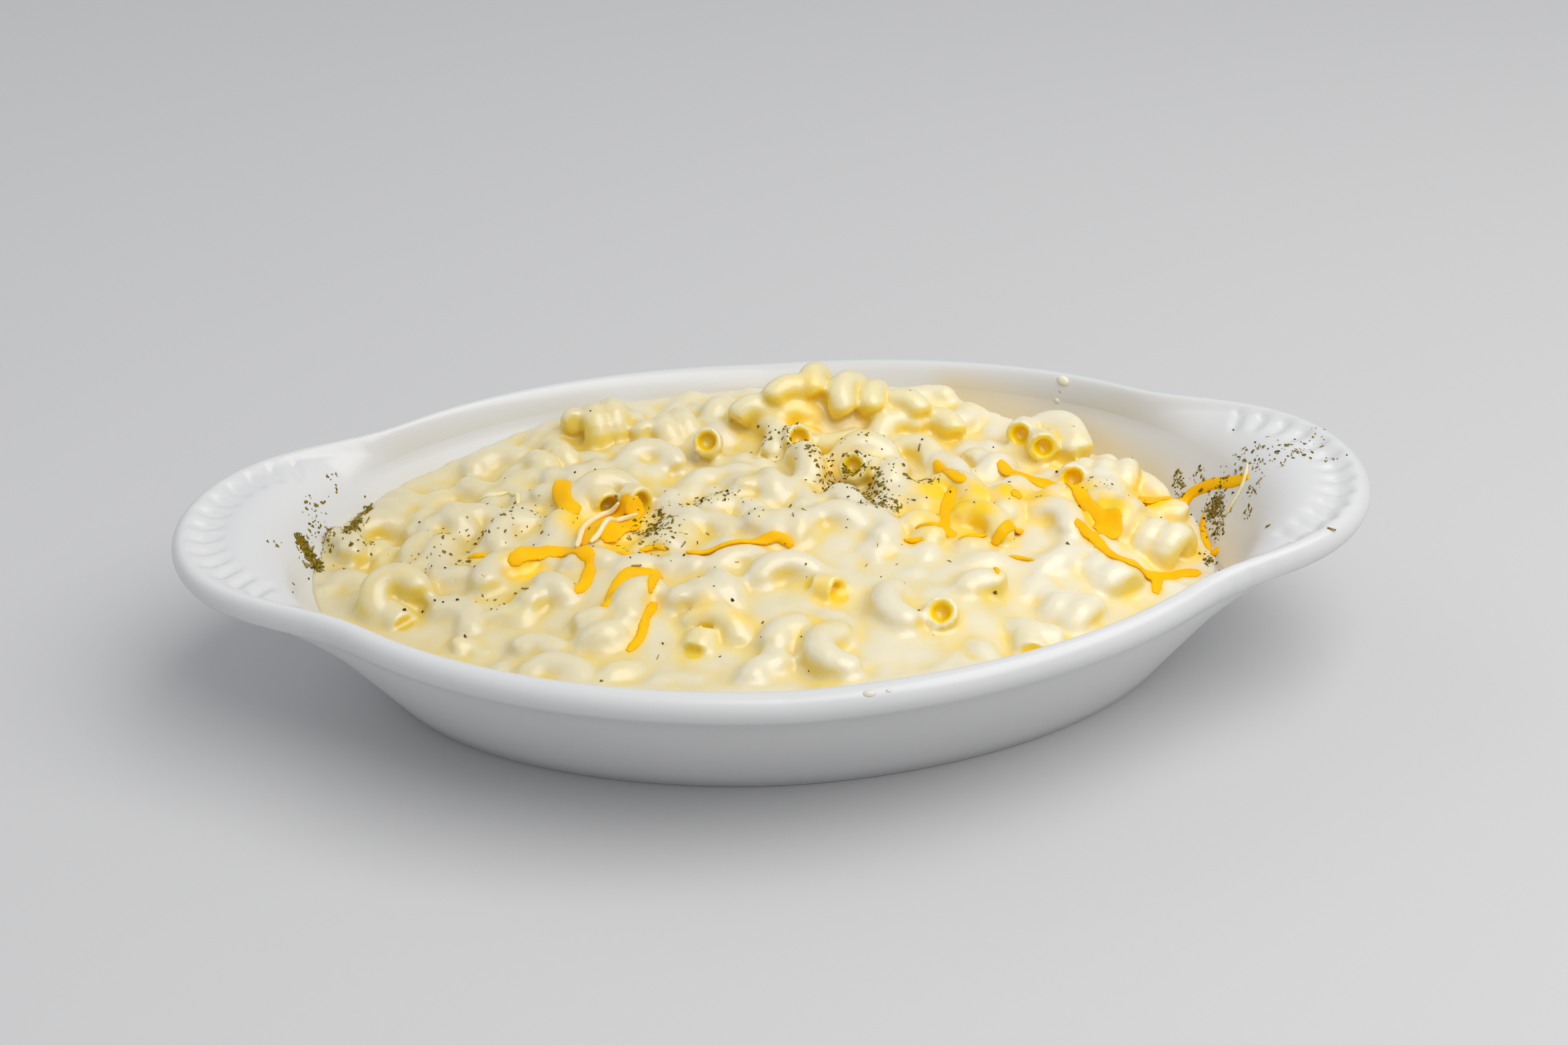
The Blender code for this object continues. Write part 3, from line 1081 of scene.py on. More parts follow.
@dataclass(frozen=True)
class Tube:
    """One kind of macaroni: a tube bent along an arc or wound into a corkscrew."""

    bend: float = 7.0 * MM
    sweep: float = 150.0
    winding: float = 0.0
    pitch: float = 0.0
    turns: float = 0.0
    outer: float = 3.6 * MM
    inner: float = 2.45 * MM
    sides: int = 16
    steps: int = 14
    plug_radius: float = 0.05 * MM
    sealed_share: float = 0.75

    def path(self) -> Array:
        """The tube's centre line, about the origin and mostly along X."""
        share = np.linspace(0, 1, self.steps)
        if self.winding:
            turn = share * self.turns * 2 * math.pi
            along = (share - 0.5) * self.turns * self.pitch
            line = np.stack((along, self.winding * np.sin(turn), self.winding * np.cos(turn)), axis=-1)
        else:
            turn = (share - 0.5) * math.radians(self.sweep)
            line = self.bend * np.stack((np.sin(turn), np.cos(turn), 0 * turn), axis=-1)
            line[:, 1] -= line[:, 1].mean()
        return line

    def rings(self, is_open: bool) -> Array:
        """Rings along the outside and, where its ends are open, back through the bore.

        Args:
            is_open: whether the ends are open, with sauce half way along the bore. Otherwise
                sauce seals the ends.

        Returns:
            The rings, as rings x points x 3.
        """
        line = [Vector(point) for point in self.path()]
        tangents = [(b - a).normalized() for a, b in zip(line, line[1:])]
        tangents.append(tangents[-1])
        side = tangents[0].orthogonal().normalized()
        sides = []
        for tangent in tangents:
            side = (side - tangent * side.dot(tangent)).normalized()
            sides.append(side.copy())
        turns = [2 * math.pi * i / self.sides for i in range(self.sides)]
        out: list[list[Vector]] = []
        back: list[list[Vector]] = []
        for rings, radius in ((out, self.outer), (back, self.inner)):
            for index, (point, tangent, side) in enumerate(zip(line, tangents, sides)):
                other = tangent.cross(side)
                is_blocked = rings is back and index == len(line) // 2
                reach = self.plug_radius if is_blocked else radius
                rings.append([point + reach * (side * math.cos(t) + other * math.sin(t)) for t in turns])
        if not is_open:
            back = []
            for index in (0, -1):
                middle = line[index]
                out[index] = [middle + (point - middle) * self.sealed_share for point in out[index]]
        return np.array([[tuple(p) for p in ring] for ring in out + back[::-1]])


TUBES = {
    Pasta.ELBOW: Tube(),
    Pasta.SHORT_ELBOW: Tube(bend=6.0 * MM, sweep=115.0, steps=10),
    Pasta.HOOK: Tube(bend=6.2 * MM, sweep=205.0, steps=16),
    Pasta.CORKSCREW: Tube(winding=5.0 * MM, pitch=6.8 * MM, turns=1.75, steps=32),
    Pasta.SHORT_CORKSCREW: Tube(winding=4.7 * MM, pitch=6.6 * MM, turns=1.25, steps=24),
    Pasta.BARREL: Tube(winding=4.5 * MM, pitch=5.2 * MM, turns=2.4, steps=40),
    Pasta.STUB: Tube(bend=30 * MM, sweep=11.0, outer=3.9 * MM, inner=2.2 * MM, steps=9),
}


@dataclass(frozen=True)
class Noodle:
    """One piece of macaroni: its kind, its place in mm and how it lies.

    top is how far its highest point stands over the heap in mm. In degrees, heading turns
    it about the upright, lean rolls it about its own length and tilt raises its +X end.
    bare is 1 where hardly any sauce covers it, and is_open says that its ends show.
    """

    kind: Pasta
    x: float
    y: float
    top: float = 1.0
    heading: float = 0.0
    lean: float = 0.0
    tilt: float = 0.0
    bare: float = 0.0
    is_open: bool = False
    clean_from: float = 0.3

    @property
    def is_clean(self) -> bool:
        """Whether so little sauce lies on it that its outline stays sharp."""
        return self.is_open or self.bare > self.clean_from

    def turned(self, points: Array) -> Array:
        """The points after the noodle's three turns.

        Args:
            points: points about the origin.

        Returns:
            The turned points.
        """
        turn = Matrix.Rotation(math.radians(self.heading), 3, "Z")
        turn = turn @ Matrix.Rotation(-math.radians(self.tilt), 3, "Y")
        turn = turn @ Matrix.Rotation(math.radians(self.lean), 3, "X")
        return points @ np.array(turn).T

    def shift(self, heap: Heap, turned: Array) -> Array:
        """How far the turned points move so that the highest stands top over the heap."""
        x, y = self.x * MM, self.y * MM
        ground = float(heap.top(np.array(x), np.array(y)))
        return np.array((x, y, ground + self.top * MM - turned[:, 2].max()))


HEROES = (
    # The big curl and its neighbours at the -X end.
    Noodle(Pasta.CORKSCREW, -89, -18, 5.0, -60, 150, 62, 0.1),
    Noodle(Pasta.STUB, -88, -24, 1.4, -45, 0, -8, 0.1, True),
    Noodle(Pasta.SHORT_CORKSCREW, -78, 13, 2.2, 40, 0, 15),
    Noodle(Pasta.BARREL, -93, 25, 2.0, 60, 0),
    Noodle(Pasta.SHORT_ELBOW, -104, 9, 4.0, -60, 20),
    Noodle(Pasta.ELBOW, -98, 17, 2.2, 30, 20),
    Noodle(Pasta.ELBOW, -63, 3, 1.5, 60, 30),
    Noodle(Pasta.ELBOW, -64, -14, 1.5, 50, 0),
    Noodle(Pasta.ELBOW, -73, -27, 0.6, -50, 10),
    Noodle(Pasta.SHORT_CORKSCREW, -52, -25, 2.0, 60, 0, 5),
    Noodle(Pasta.ELBOW, -49, -53, 1.6, -20, 20),
    Noodle(Pasta.SHORT_ELBOW, -54, -43, 0.8, -15, 10),
    Noodle(Pasta.SHORT_CORKSCREW, -40, -40, 2.2, 110, 40, 0, 0.2),
    Noodle(Pasta.ELBOW, -32, -32, 2.6, 65, 20),
    # Along the back.
    Noodle(Pasta.BARREL, -43, 51, 3.5, 25, 0, 0, 0.35),
    Noodle(Pasta.CORKSCREW, -54, 40, 2.5, 45, 60, 0, 0.35),
    Noodle(Pasta.ELBOW, -70, 45, 0.8, 20, 10),
    Noodle(Pasta.BARREL, -25, 48, 2.2, 30, 0, 0, 0.33),
    Noodle(Pasta.STUB, -15, 35, 6.0, -95, 0, 35, 0.1, True),
    Noodle(Pasta.HOOK, -30, 33, 2.2, 5, 15),
    Noodle(Pasta.BARREL, -47, 27, 1.2, 15, 0),
    Noodle(Pasta.ELBOW, -41, 17, 3.6, 20, 60),
    Noodle(Pasta.STUB, -41, 13, 2.0, -55, 0, -5, 0.2, True),
    Noodle(Pasta.STUB, -33, 10, 3.4, -50, 0, 12, 0.2, True),
    # The tall cluster at the back, with little sauce on it.
    Noodle(Pasta.SHORT_ELBOW, -3, 48, 2.6, 10, 60, 0, 0.4),
    Noodle(Pasta.ELBOW, 1, 41, 2.6, -80, 40, 0, 0.35),
    Noodle(Pasta.SHORT_ELBOW, 6, 50, 3.4, 20, 65, 0, 0.6),
    Noodle(Pasta.ELBOW, 6, 47, 0.6, 10, 70, 0, 0.9),
    Noodle(Pasta.SHORT_ELBOW, 13, 54, 1.6, 80, 60, 0, 0.9),
    Noodle(Pasta.ELBOW, 21, 51, 2.4, 70, 60, 0, 0.6),
    Noodle(Pasta.HOOK, 16, 39, 1.0, 175, 10, 0, 0.7),
    Noodle(Pasta.SHORT_ELBOW, 28, 51, 1.6, 75, 50, 0, 0.8),
    Noodle(Pasta.SHORT_ELBOW, 36, 50, 3.6, -30, 65, 0, 0.7),
    Noodle(Pasta.ELBOW, 33, 45, 0.8, 30, 30, 0, 0.5),
    Noodle(Pasta.SHORT_ELBOW, 45, 47, 2.6, -40, 40, 0, 0.8),
    # Round the big pile of herbs.
    Noodle(Pasta.HOOK, 24, 29, 4.0, -5, 55, 0, 0.3),
    Noodle(Pasta.STUB, 7, 36, 5.0, -60, 0, 32, 0.2, True),
    Noodle(Pasta.ELBOW, 9, 24, 4.0, -80, 70, 0, 0.15),
    Noodle(Pasta.STUB, 21, 18, 5.6, -115, 0, 38, 0.2, True),
    Noodle(Pasta.CORKSCREW, 29, 17, 2.6, -8, 0, 0, 0.25),
    Noodle(Pasta.SHORT_CORKSCREW, -2, 13, 2.2, 30, 0),
    Noodle(Pasta.BARREL, 2, -6, 2.2, -10, 30),
    Noodle(Pasta.ELBOW, 15, -3, 2.2, -15, 50),
    Noodle(Pasta.ELBOW, -16, -2, -0.5, -10, 0),
    # The middle and the front.
    Noodle(Pasta.ELBOW, 2, -24, 2.8, 5, 35),
    Noodle(Pasta.BARREL, -16, -31, 2.4, 35, 0),
    Noodle(Pasta.STUB, 11, -31, 2.4, -30, 0, 8, 0.8, True),
    Noodle(Pasta.ELBOW, 26, -38, 2.4, 100, 15),
    Noodle(Pasta.HOOK, 11, -54, 3.6, 95, 15),
    Noodle(Pasta.SHORT_ELBOW, 1, -47, 2.4, 45, 20),
    Noodle(Pasta.ELBOW, -14, -41, 2.0, -30, 40, 0, 0.5),
    Noodle(Pasta.STUB, -18, -46, 1.2, -110, 0, -12, 0.6, True),
    Noodle(Pasta.SHORT_ELBOW, -4, -58, 1.2, 40, 0),
    Noodle(Pasta.STUB, 36, -41, 3.6, -95, 0, 52, 0.1, True),
    Noodle(Pasta.SHORT_ELBOW, 46, -30, 2.0, 20, 10),
    Noodle(Pasta.STUB, 55, -48, 2.0, -90, 0, -5, 0.4, True),
    Noodle(Pasta.SHORT_ELBOW, 57, -44, 2.2, 150, 30, 0, 0.2),
    Noodle(Pasta.BARREL, 65, -33, 2.2, -30, 0),
    # The +X end.
    Noodle(Pasta.HOOK, 74, 39, 4.2, -53, 28, 0, 0.1),
    Noodle(Pasta.SHORT_ELBOW, 76, 36, 2.6, -45, 45, 0, 0.1),
    Noodle(Pasta.STUB, 65, 40, 3.4, -110, 0, 15, 0.2, True),
    Noodle(Pasta.STUB, 69, 33, 3.2, -90, 0, 15, 0.3, True),
    Noodle(Pasta.STUB, 75, 20, 3.6, -100, 0, 22, 0.2, True),
    Noodle(Pasta.BARREL, 84, 21, 2.6, -5, 0, 0, 0.32),
    Noodle(Pasta.ELBOW, 92, 22, 2.5, -40, 40),
    Noodle(Pasta.SHORT_ELBOW, 96, 10, 1.6, 20, 30),
    Noodle(Pasta.BARREL, 91, -4, 2.6, -30, 30, 0, 0.32),
    Noodle(Pasta.ELBOW, 68, -1, 2.0, -60, 20),
    Noodle(Pasta.ELBOW, 50, -4, 1.5, -50, 20, 0, 0.8),
    Noodle(Pasta.BARREL, 76, -18, 2.2, -45, 0),
    Noodle(Pasta.ELBOW, 38, 31, 2.2, -50, 40, 0, 0.6),
    Noodle(Pasta.SHORT_CORKSCREW, 54, 27, 1.0, -30, 0),
    Noodle(Pasta.HOOK, 45, 10, 1.2, -50, 20),
)


@dataclass(frozen=True)
class Melt:
    """A place in mm where cheese has melted into the sauce: how far and how strongly."""

    x: float
    y: float
    reach: float
    strength: float
    spread: float = 1.9
    gain: float = 1.6

    def amount(self, places: Array) -> Array:
        """How much of this melt is in each place."""
        away = np.hypot(places[:, 0] - self.x * MM, places[:, 1] - self.y * MM)
        return self.gain * self.strength * (1 - smooth_step(away / (self.spread * self.reach * MM)))


MELTS = (
    Melt(-47, 5, 4, 0.6),
    Melt(-40, 3, 6, 0.8),
    Melt(-33, 3, 5, 0.7),
    Melt(-36, -7, 5, 0.6),
    Melt(-58, -13, 4, 0.8),
    Melt(40, 9, 5, 0.8),
    Melt(43, 2, 6, 0.8),
    Melt(34, 1, 5, 0.4),
    Melt(37, -7, 5, 0.5),
    Melt(46, -8, 5, 0.6),
    Melt(50, 6, 4, 0.6),
    Melt(49, -3, 4, 0.7),
    Melt(57, 6, 4, 0.7),
    Melt(63, 8, 5, 0.8),
    Melt(74, 11, 5, 0.7),
    Melt(79, 0, 6, 0.9),
    Melt(94, 12, 5, 0.8),
    Melt(101, -3, 3, 0.5),
    Melt(11, -33, 3, 0.6),
    Melt(-8, -41, 3, 0.5),
    Melt(-17, -38, 3, 0.4),
    Melt(16, 22, 5, 0.4),
    Melt(10, 45, 5, 0.5),
)


@dataclass(frozen=True)
class Fillers:
    """The seeded macaroni between the listed ones, with ranges in mm and degrees.

    Towards the front they lie further apart and deeper.
    """

    count: int = 130
    seed: int = 11
    most_tries: int = 6000
    x: Span = (-108, 102)
    y: Span = (-66, 66)
    farthest_out: float = 0.955
    gap: float = 8.8
    top: Span = (-1.5, 1.2)
    heading: Span = (0, 360)
    lean: Span = (-30, 50)
    tilt: Span = (-12, 12)
    bare: Span = (-0.5, 0.35)
    front_start: float = 2.0
    front_length: float = 30.0
    front_gap: float = 2.2
    front_drop: float = 1.0

    def to_front(self, y: float) -> float:
        """How far towards the front a place lies, 0 to 1."""
        return float(smooth_step(np.array((self.front_start - y) / self.front_length)))

    def noodle(self, draw: random.Random, x: float, y: float) -> Noodle:
        """One noodle that lies as chance has it.

        Args:
            draw: the source of chance.
            x: its place along the dish in mm.
            y: its place across it.

        Returns:
            The noodle.
        """
        return Noodle(
            draw.choice([kind for kind in Pasta if kind is not Pasta.STUB]),
            x,
            y,
            draw.uniform(*self.top) - self.front_drop * self.to_front(y),
            draw.uniform(*self.heading),
            draw.uniform(*self.lean),
            draw.uniform(*self.tilt),
            max(0.0, draw.uniform(*self.bare)),
        )

    def added(self, heroes: tuple[Noodle, ...], heap: Heap) -> list[Noodle]:
        """The listed noodles with the seeded ones between them.

        Args:
            heroes: the listed noodles.
            heap: the heap that they lie on.

        Returns:
            All the noodles, the listed ones first.
        """
        draw = random.Random(self.seed)
        noodles = list(heroes)
        for _ in range(self.most_tries):
            if len(noodles) == len(heroes) + self.count:
                break
            x, y = draw.uniform(*self.x), draw.uniform(*self.y)
            share = float(heap.share_out(np.array(x * MM), np.array(y * MM)))
            near = min(math.hypot(x - n.x, y - n.y) for n in noodles)
            gap = self.gap + self.front_gap * self.to_front(y)
            if share <= self.farthest_out and near >= gap:
                noodles.append(self.noodle(draw, x, y))
        LOG.info("%d noodles", len(noodles))
        return noodles


@dataclass
class SaucedPasta:
    """The macaroni and the sauce that covers and joins them."""

    heap: Heap = Heap()
    fillers: Fillers = Fillers()
    # The sauce bed between the macaroni.
    bed_points: int = 256
    bed_depth: float = 4.3 * MM
    base_height: float = 17 * MM
    side_shares: tuple[float, ...] = (0.0, 0.35, 0.7, 1.0)
    top_rings: int = 60
    top_shares: Span = (0.985, 0.02)
    wave_height: float = 2.2 * MM
    wave_scale: float = 65
    wave_level: float = 0.4
    wave_blend: float = 0.1
    wall_bite: float = 0.9 * MM
    wall_flare: float = 0.3
    # The sauce over the macaroni.
    voxel: float = 0.8 * MM
    fillet: float = 1.1 * MM
    coat: float = 0.35 * MM
    coat_passes: int = 3
    surface_passes: int = 2
    ripple_height: float = 0.33 * MM
    # Waves per metre, with their share of the height.
    ripples: tuple[Span, ...] = ((130, 1.0), (330, 0.4))
    cut_height: float = 22 * MM
    weld: float = 0.001 * MM
    # How far from a noodle's centre line its bore and its bare skin reach.
    hollow: Fade = Fade(2.5 * MM, 0.8 * MM)
    bare: Fade = Fade(4.6 * MM, 1.2 * MM)
    # How far up a side and an underside face, from -1 straight down to 1 straight up.
    # The sauce's finish paints shade on steep faces and on the undersides of bare noodles.
    side: Fade = Fade(0.12, 0.6)
    under: Fade = Fade(-0.05, 0.55)
    # How far round a point a dent is looked for, and how deep a full one is. The sauce's
    # finish paints shade in dents.
    crease_passes: int = 12
    crease_depth: float = 0.45 * MM
    cavity_passes: int = 70
    cavity_depth: float = 1.6 * MM
    # How far from the grated cheese its melt reaches.
    melt_search: float = 3 * MM
    melt_fade: Fade = Fade(0.1 * MM, 1.6 * MM)
    melt_strength: float = 0.5
    # The plain core.
    core_points: int = 96
    core_heights: tuple[float, ...] = (6.3 * MM, 8 * MM, 11 * MM, 15 * MM)
    core_overlap: float = 0.5 * MM
    core_bite: float = 0.3 * MM

    def bed_rings(self) -> Array:
        """Rings of the sauce bed: up its side, which lies in the wall, and in over its top."""
        angle = np.linspace(0, 2 * math.pi, self.bed_points, endpoint=False)
        shape = self.heap.shape
        edge = self.heap.edge_height(angle)
        rings = []
        for share in self.side_shares:
            height = self.base_height + (edge - self.base_height) * share
            rings.append(shape.placed(angle, shape.inner_wall(angle, height) + self.wall_bite, height))
        rim = np.hypot(rings[-1][:, 0], rings[-1][:, 1])
        for share in np.linspace(*self.top_shares, self.top_rings):
            radius = rim * share
            height = self.heap.bed(radius * np.cos(angle), radius * np.sin(angle), self.bed_depth)
            places = shape.placed(angle, radius, height)
            spots = [Vector((x, y, self.wave_level)) * self.wave_scale for x, y, _ in places]
            waves = np.array([noise.noise(spot) for spot in spots])
            calm = min(1.0, (self.top_shares[0] - share) / self.wave_blend)
            places[:, 2] += self.wave_height * waves * calm
            rings.append(places)
        return np.array(rings)

    def copies(self, noodles: list[Noodle]) -> tuple[list[Piece], list[tuple[Vector, Noodle]]]:
        """One copy of its kind for every noodle, in place.

        Args:
            noodles: the noodles to lay.

        Returns:
            The copies, and points on their centre lines with the noodle that each is in.
        """
        models = {}
        for kind, tube in TUBES.items():
            models[kind, True] = Workshop.ring_stack(kind.value, tube.rings(True), Ends.JOINED)
            models[kind, False] = Workshop.ring_stack(kind.value, tube.rings(False), Ends.CAPPED)
        laid = []
        line: list[tuple[Vector, Noodle]] = []
        for index, noodle in enumerate(noodles):
            model = models[noodle.kind, noodle.is_open]
            piece = Workshop.in_scene(f"noodle_{index}", model.data.copy())
            turned = noodle.turned(Workshop.points(model))
            shift = noodle.shift(self.heap, turned)
            Workshop.set_points(piece, turned + shift)
            laid.append(piece)
            for point in noodle.turned(TUBES[noodle.kind].path()) + shift:
                line.append((Vector(point), noodle))
        for model in models.values():
            bpy.data.objects.remove(model)
        return laid, line

    def inside_wall(self, places: Array) -> Array:
        """Draws in the points that lie too far out, so that the food bites only a little into the wall.

        Args:
            places: the points.

        Returns:
            The points after that.
        """
        shape = self.heap.shape
        angle = np.arctan2(places[:, 1], places[:, 0])
        radius = np.hypot(places[:, 0], places[:, 1])
        level = np.clip(places[:, 2], shape.floor_height, shape.well_top_height)
        above = np.maximum(places[:, 2] - shape.well_top_height, 0.0)
        most = shape.inner_wall(angle, level) + self.wall_bite + self.wall_flare * above
        share = np.minimum(most / np.maximum(radius, 1e-9), 1.0)
        drawn = places.copy()
        drawn[:, :2] *= share[:, None]
        return drawn

    def values(self, piece: Piece, line: list[tuple[Vector, Noodle]]) -> None:
        """Stores how hollow, bare, steep and sunk each point of the surface is.

        Args:
            piece: the sauced pasta.
            line: points on the noodles' centre lines, with the noodle that each is in.
        """
        tree = KDTree(len(line))
        for index, (point, _) in enumerate(line):
            tree.insert(point, index)
        tree.balance()
        places = Workshop.points(piece)
        near = np.zeros(len(places))
        bare = np.zeros(len(places))
        opened = np.zeros(len(places))
        for index, place in enumerate(places):
            _, nearest, near[index] = tree.find(place)
            bare[index] = line[nearest][1].bare
            opened[index] = line[nearest][1].is_open
        upward = Workshop.normals(piece)[:, 2]
        values = {
            "hollow": opened * self.hollow.at(near),
            "bare": bare * self.bare.at(near),
            "side": self.side.at(upward),
            "under": self.under.at(upward),
            "crease": self.dents(piece, places, self.crease_passes, self.crease_depth),
            "cavity": self.dents(piece, places, self.cavity_passes, self.cavity_depth),
        }
        for name, value in values.items():
            Workshop.with_values(piece, name, value)

    def melt(self, piece: Piece, cheese: Piece) -> None:
        """Stores how much cheese has melted into each point of the surface.

        Args:
            piece: the sauced pasta.
            cheese: the grated cheese that lies on it.
        """
        places = Workshop.points(piece)
        tree = Workshop.surface(cheese)
        far = self.melt_search
        away = np.array([tree.find_nearest(Vector(place), far)[3] or far for place in places])
        melt = self.melt_strength * self.melt_fade.at(away)
        for spot in MELTS:
            melt = np.maximum(melt, spot.amount(places))
        Workshop.with_values(piece, "melt", melt)

    def rippled(self, piece: Piece) -> Array:
        """Moves points in and out a little, as thick sauce settles unevenly.

        Args:
            piece: the sauced pasta.

        Returns:
            Its points after that.
        """
        places = Workshop.points(piece)
        total = np.zeros(len(places))
        for scale, share in self.ripples:
            total += share * np.array([noise.noise(Vector(place) * scale) for place in places])
        return places + Workshop.normals(piece) * (self.ripple_height * total)[:, None]

    @staticmethod
    def dents(piece: Piece, places: Array, passes: int, full: float) -> Array:
        """How deep each point lies in a dent, from how far its neighbours stand over it.

        Args:
            piece: the sauced pasta.
            places: its points.
            passes: how far around each point to look.
            full: the depth that counts as 1.

        Returns:
            One value per point, from 0 on ridges and flats to 1 in deep dents.
        """
        ends = np.empty(len(piece.data.edges) * 2, int)
        piece.data.edges.foreach_get("vertices", ends)
        first, second = ends.reshape(-1, 2).T
        count = np.bincount(first, minlength=len(places)) + np.bincount(second, minlength=len(places))
        even = places.copy()
        for _ in range(passes):
            total = np.empty_like(even)
            for axis in range(3):
                total[:, axis] = np.bincount(first, even[second, axis], len(places))
                total[:, axis] += np.bincount(second, even[first, axis], len(places))
            even = total / count[:, None]
        depth = ((even - places) * Workshop.normals(piece)).sum(axis=1)
        return np.clip(depth / full, 0.0, 1.0)

    def build(self) -> Piece:
        """Builds and dresses the sauced pasta.

        Returns:
            The piece, which stands for the CAD node macaroni.
        """
        noodles = self.fillers.added(HEROES, self.heap)
        laid, line = self.copies(noodles)
        covered = [piece for piece, noodle in zip(laid, noodles) if not noodle.is_clean]
        clean = [piece for piece, noodle in zip(laid, noodles) if noodle.is_clean]
        bed = Workshop.ring_stack("sauce_bed", self.bed_rings(), Ends.CAPPED)
        body = Workshop.joined("sauced_pasta", [bed, *covered])
        Workshop.remeshed(body, self.voxel)
        Workshop.swollen(body, self.fillet)
        Workshop.remeshed(body, self.voxel)
        Workshop.swollen(body, self.coat - self.fillet)
        Workshop.smoothed(body, self.coat_passes)
        body = Workshop.joined("sauced_pasta", [body, *clean])
        Workshop.remeshed(body, self.voxel)
        Workshop.smoothed(body, self.surface_passes)
        self.trim_underside(body)
        Workshop.set_points(body, self.inside_wall(self.rippled(body)))
        self.values(body, line)
        Workshop.dressed(body, CheeseSauce(), "cheese_sauce")
        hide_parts("macaroni")
        return body

    def trim_underside(self, body: Piece) -> None:
        """Drops loose specks, cuts the body off level below the surface and closes the cut.

        Args:
            body: the sauced pasta.
        """
        top = int(Workshop.points(body)[:, 2].argmax())
        Workshop.only(body)
        bpy.ops.object.mode_set(mode="EDIT")
        bpy.ops.mesh.select_mode(type="VERT")
        bpy.ops.mesh.select_all(action="DESELECT")
        bpy.ops.object.mode_set(mode="OBJECT")
        body.data.vertices[top].select = True
        bpy.ops.object.mode_set(mode="EDIT")
        bpy.ops.mesh.select_linked()
        bpy.ops.mesh.select_all(action="INVERT")
        bpy.ops.mesh.delete(type="VERT")
        bpy.ops.mesh.select_all(action="SELECT")
        bpy.ops.mesh.bisect(plane_co=(0, 0, self.cut_height), plane_no=(0, 0, 1), clear_inner=True)
        bpy.ops.mesh.select_all(action="SELECT")
        bpy.ops.mesh.remove_doubles(threshold=self.weld)
        bpy.ops.mesh.select_mode(type="EDGE")
        bpy.ops.mesh.select_all(action="DESELECT")
        bpy.ops.mesh.select_non_manifold()
        bpy.ops.mesh.fill()
        bpy.ops.mesh.select_mode(type="VERT")
        bpy.ops.object.mode_set(mode="OBJECT")
        Workshop.face_outwards(body)

    def build_core(self) -> Piece:
        """Builds the plain food under the visible layer, down to the dish's floor.

        Returns:
            The core.
        """
        angle = np.linspace(0, 2 * math.pi, self.core_points, endpoint=False)
        shape = self.heap.shape
        rings = []
        for height in (*self.core_heights, self.cut_height + self.core_overlap):
            level = max(height, shape.floor_height)
            rings.append(shape.placed(angle, shape.inner_wall(angle, level) + self.core_bite, height))
        core = Workshop.ring_stack("sauce_core", np.array(rings), Ends.CAPPED)
        CheeseSauce.plain(core)
        return core


@dataclass(frozen=True)
class Shred:
    """A strip of grated cheese: the places that it runs through, its section and lift, in mm."""

    places: tuple[Span, ...]
    width: float = 2.3
    thickness: float = 1.1
    lift: float = -0.05


CHEDDAR_SHREDS = (
    # The -X half.
    Shred(((-21, -15), (-10, -14.5), (-1, -12), (2, -12), (4, -14)), 2.0, 1.1, 0.4),
    Shred(((-50, 21), (-51, 17), (-51, 14), (-49, 8), (-46, 8)), 3.2),
    Shred(((-44, -8), (-44, -2), (-41, 6), (-37, 8), (-31, 5)), 3.2),
    Shred(((-41, -6), (-37, -3), (-33, 4)), 4.2),
    Shred(((-41, 0), (-36, 2)), 5.0),
    Shred(((-62, -14), (-58, -11), (-54, -8.5), (-49, -8), (-45, -12), (-43, -16)), 2.8),
    Shred(((-43, -16), (-44, -21), (-46, -27)), 2.2),
    Shred(((-39, -36), (-38, -28), (-36, -22.5), (-32, -20), (-27, -20)), 2.2),
    Shred(((-27, -20), (-28, -27), (-29, -31)), 1.6),
    Shred(((-28, -32), (-30, -39), (-31, -44), (-34, -48)), 1.6),
    Shred(((-73, -4), (-68, -6)), 1.2),
    Shred(((-37, -12), (-33, -12)), 1.6),
    Shred(((-32, -11), (-28, -10), (-25, -12.5)), 1.2),
    # The +X half.
    Shred(((41, 23), (44, 13), (47, 9.5)), 2.0),
    Shred(((44, 10), (42, 5), (40, -6)), 2.2),
    Shred(((41, -2), (39, -6), (43, -8)), 2.8),
    Shred(((57, 24), (59, 21), (64, 19.5), (70, 17), (73, 14), (75, 7), (77, 0), (80, -4)), 2.6),
    Shred(((81, 0), (80, -4), (78, -8)), 4.4),
    Shred(((58, 6), (60, 4.5)), 3.2),
    Shred(((71, -7), (76, -9), (78, -16), (82, -20), (91, -15), (101, -11)), 2.4),
    Shred(((90, -15), (88, -22)), 2.0),
    Shred(((90, 13), (95, 12)), 3.4),
    Shred(((92, 13), (97, 13), (101, 17), (104, 18.5), (109, 15), (113, 9.5), (115.5, 7)), 2.3),
    Shred(((51, -13), (54, -11), (59, -4)), 2.0),
    Shred(((54, -17), (57, -16.5), (60, -19)), 1.0),
    Shred(((43, -11), (47, -11), (50, -10)), 1.4),
    Shred(((30, -12), (35, -13)), 1.3),
    Shred(((33, -8), (37, -9.5), (41, -9)), 1.1),
    Shred(((106, 11), (105, 5), (105, -2)), 1.3),
    Shred(((105, -3), (107, -4)), 2.2),
    Shred(((50, -23), (50, -30)), 1.0),
)

PALE_SHREDS = (
    Shred(((116, 11), (115, 8), (114, 6), (112, 5), (110, 4)), 0.8, 0.9, 0.2),
    Shred(((-73, 25), (-69, 24), (-65, 25)), 1.2, 1.0),
    Shred(((-65, 25), (-62, 20), (-62, 16)), 1.0, 0.9),
    Shred(((-46, -10), (-45.5, -2), (-44, 4), (-41, 8), (-36, 8)), 1.0, 1.5, 0.9),
    Shred(((-43, -9), (-40, -3), (-37, 4), (-32, 5)), 0.9, 1.5, 0.9),
)


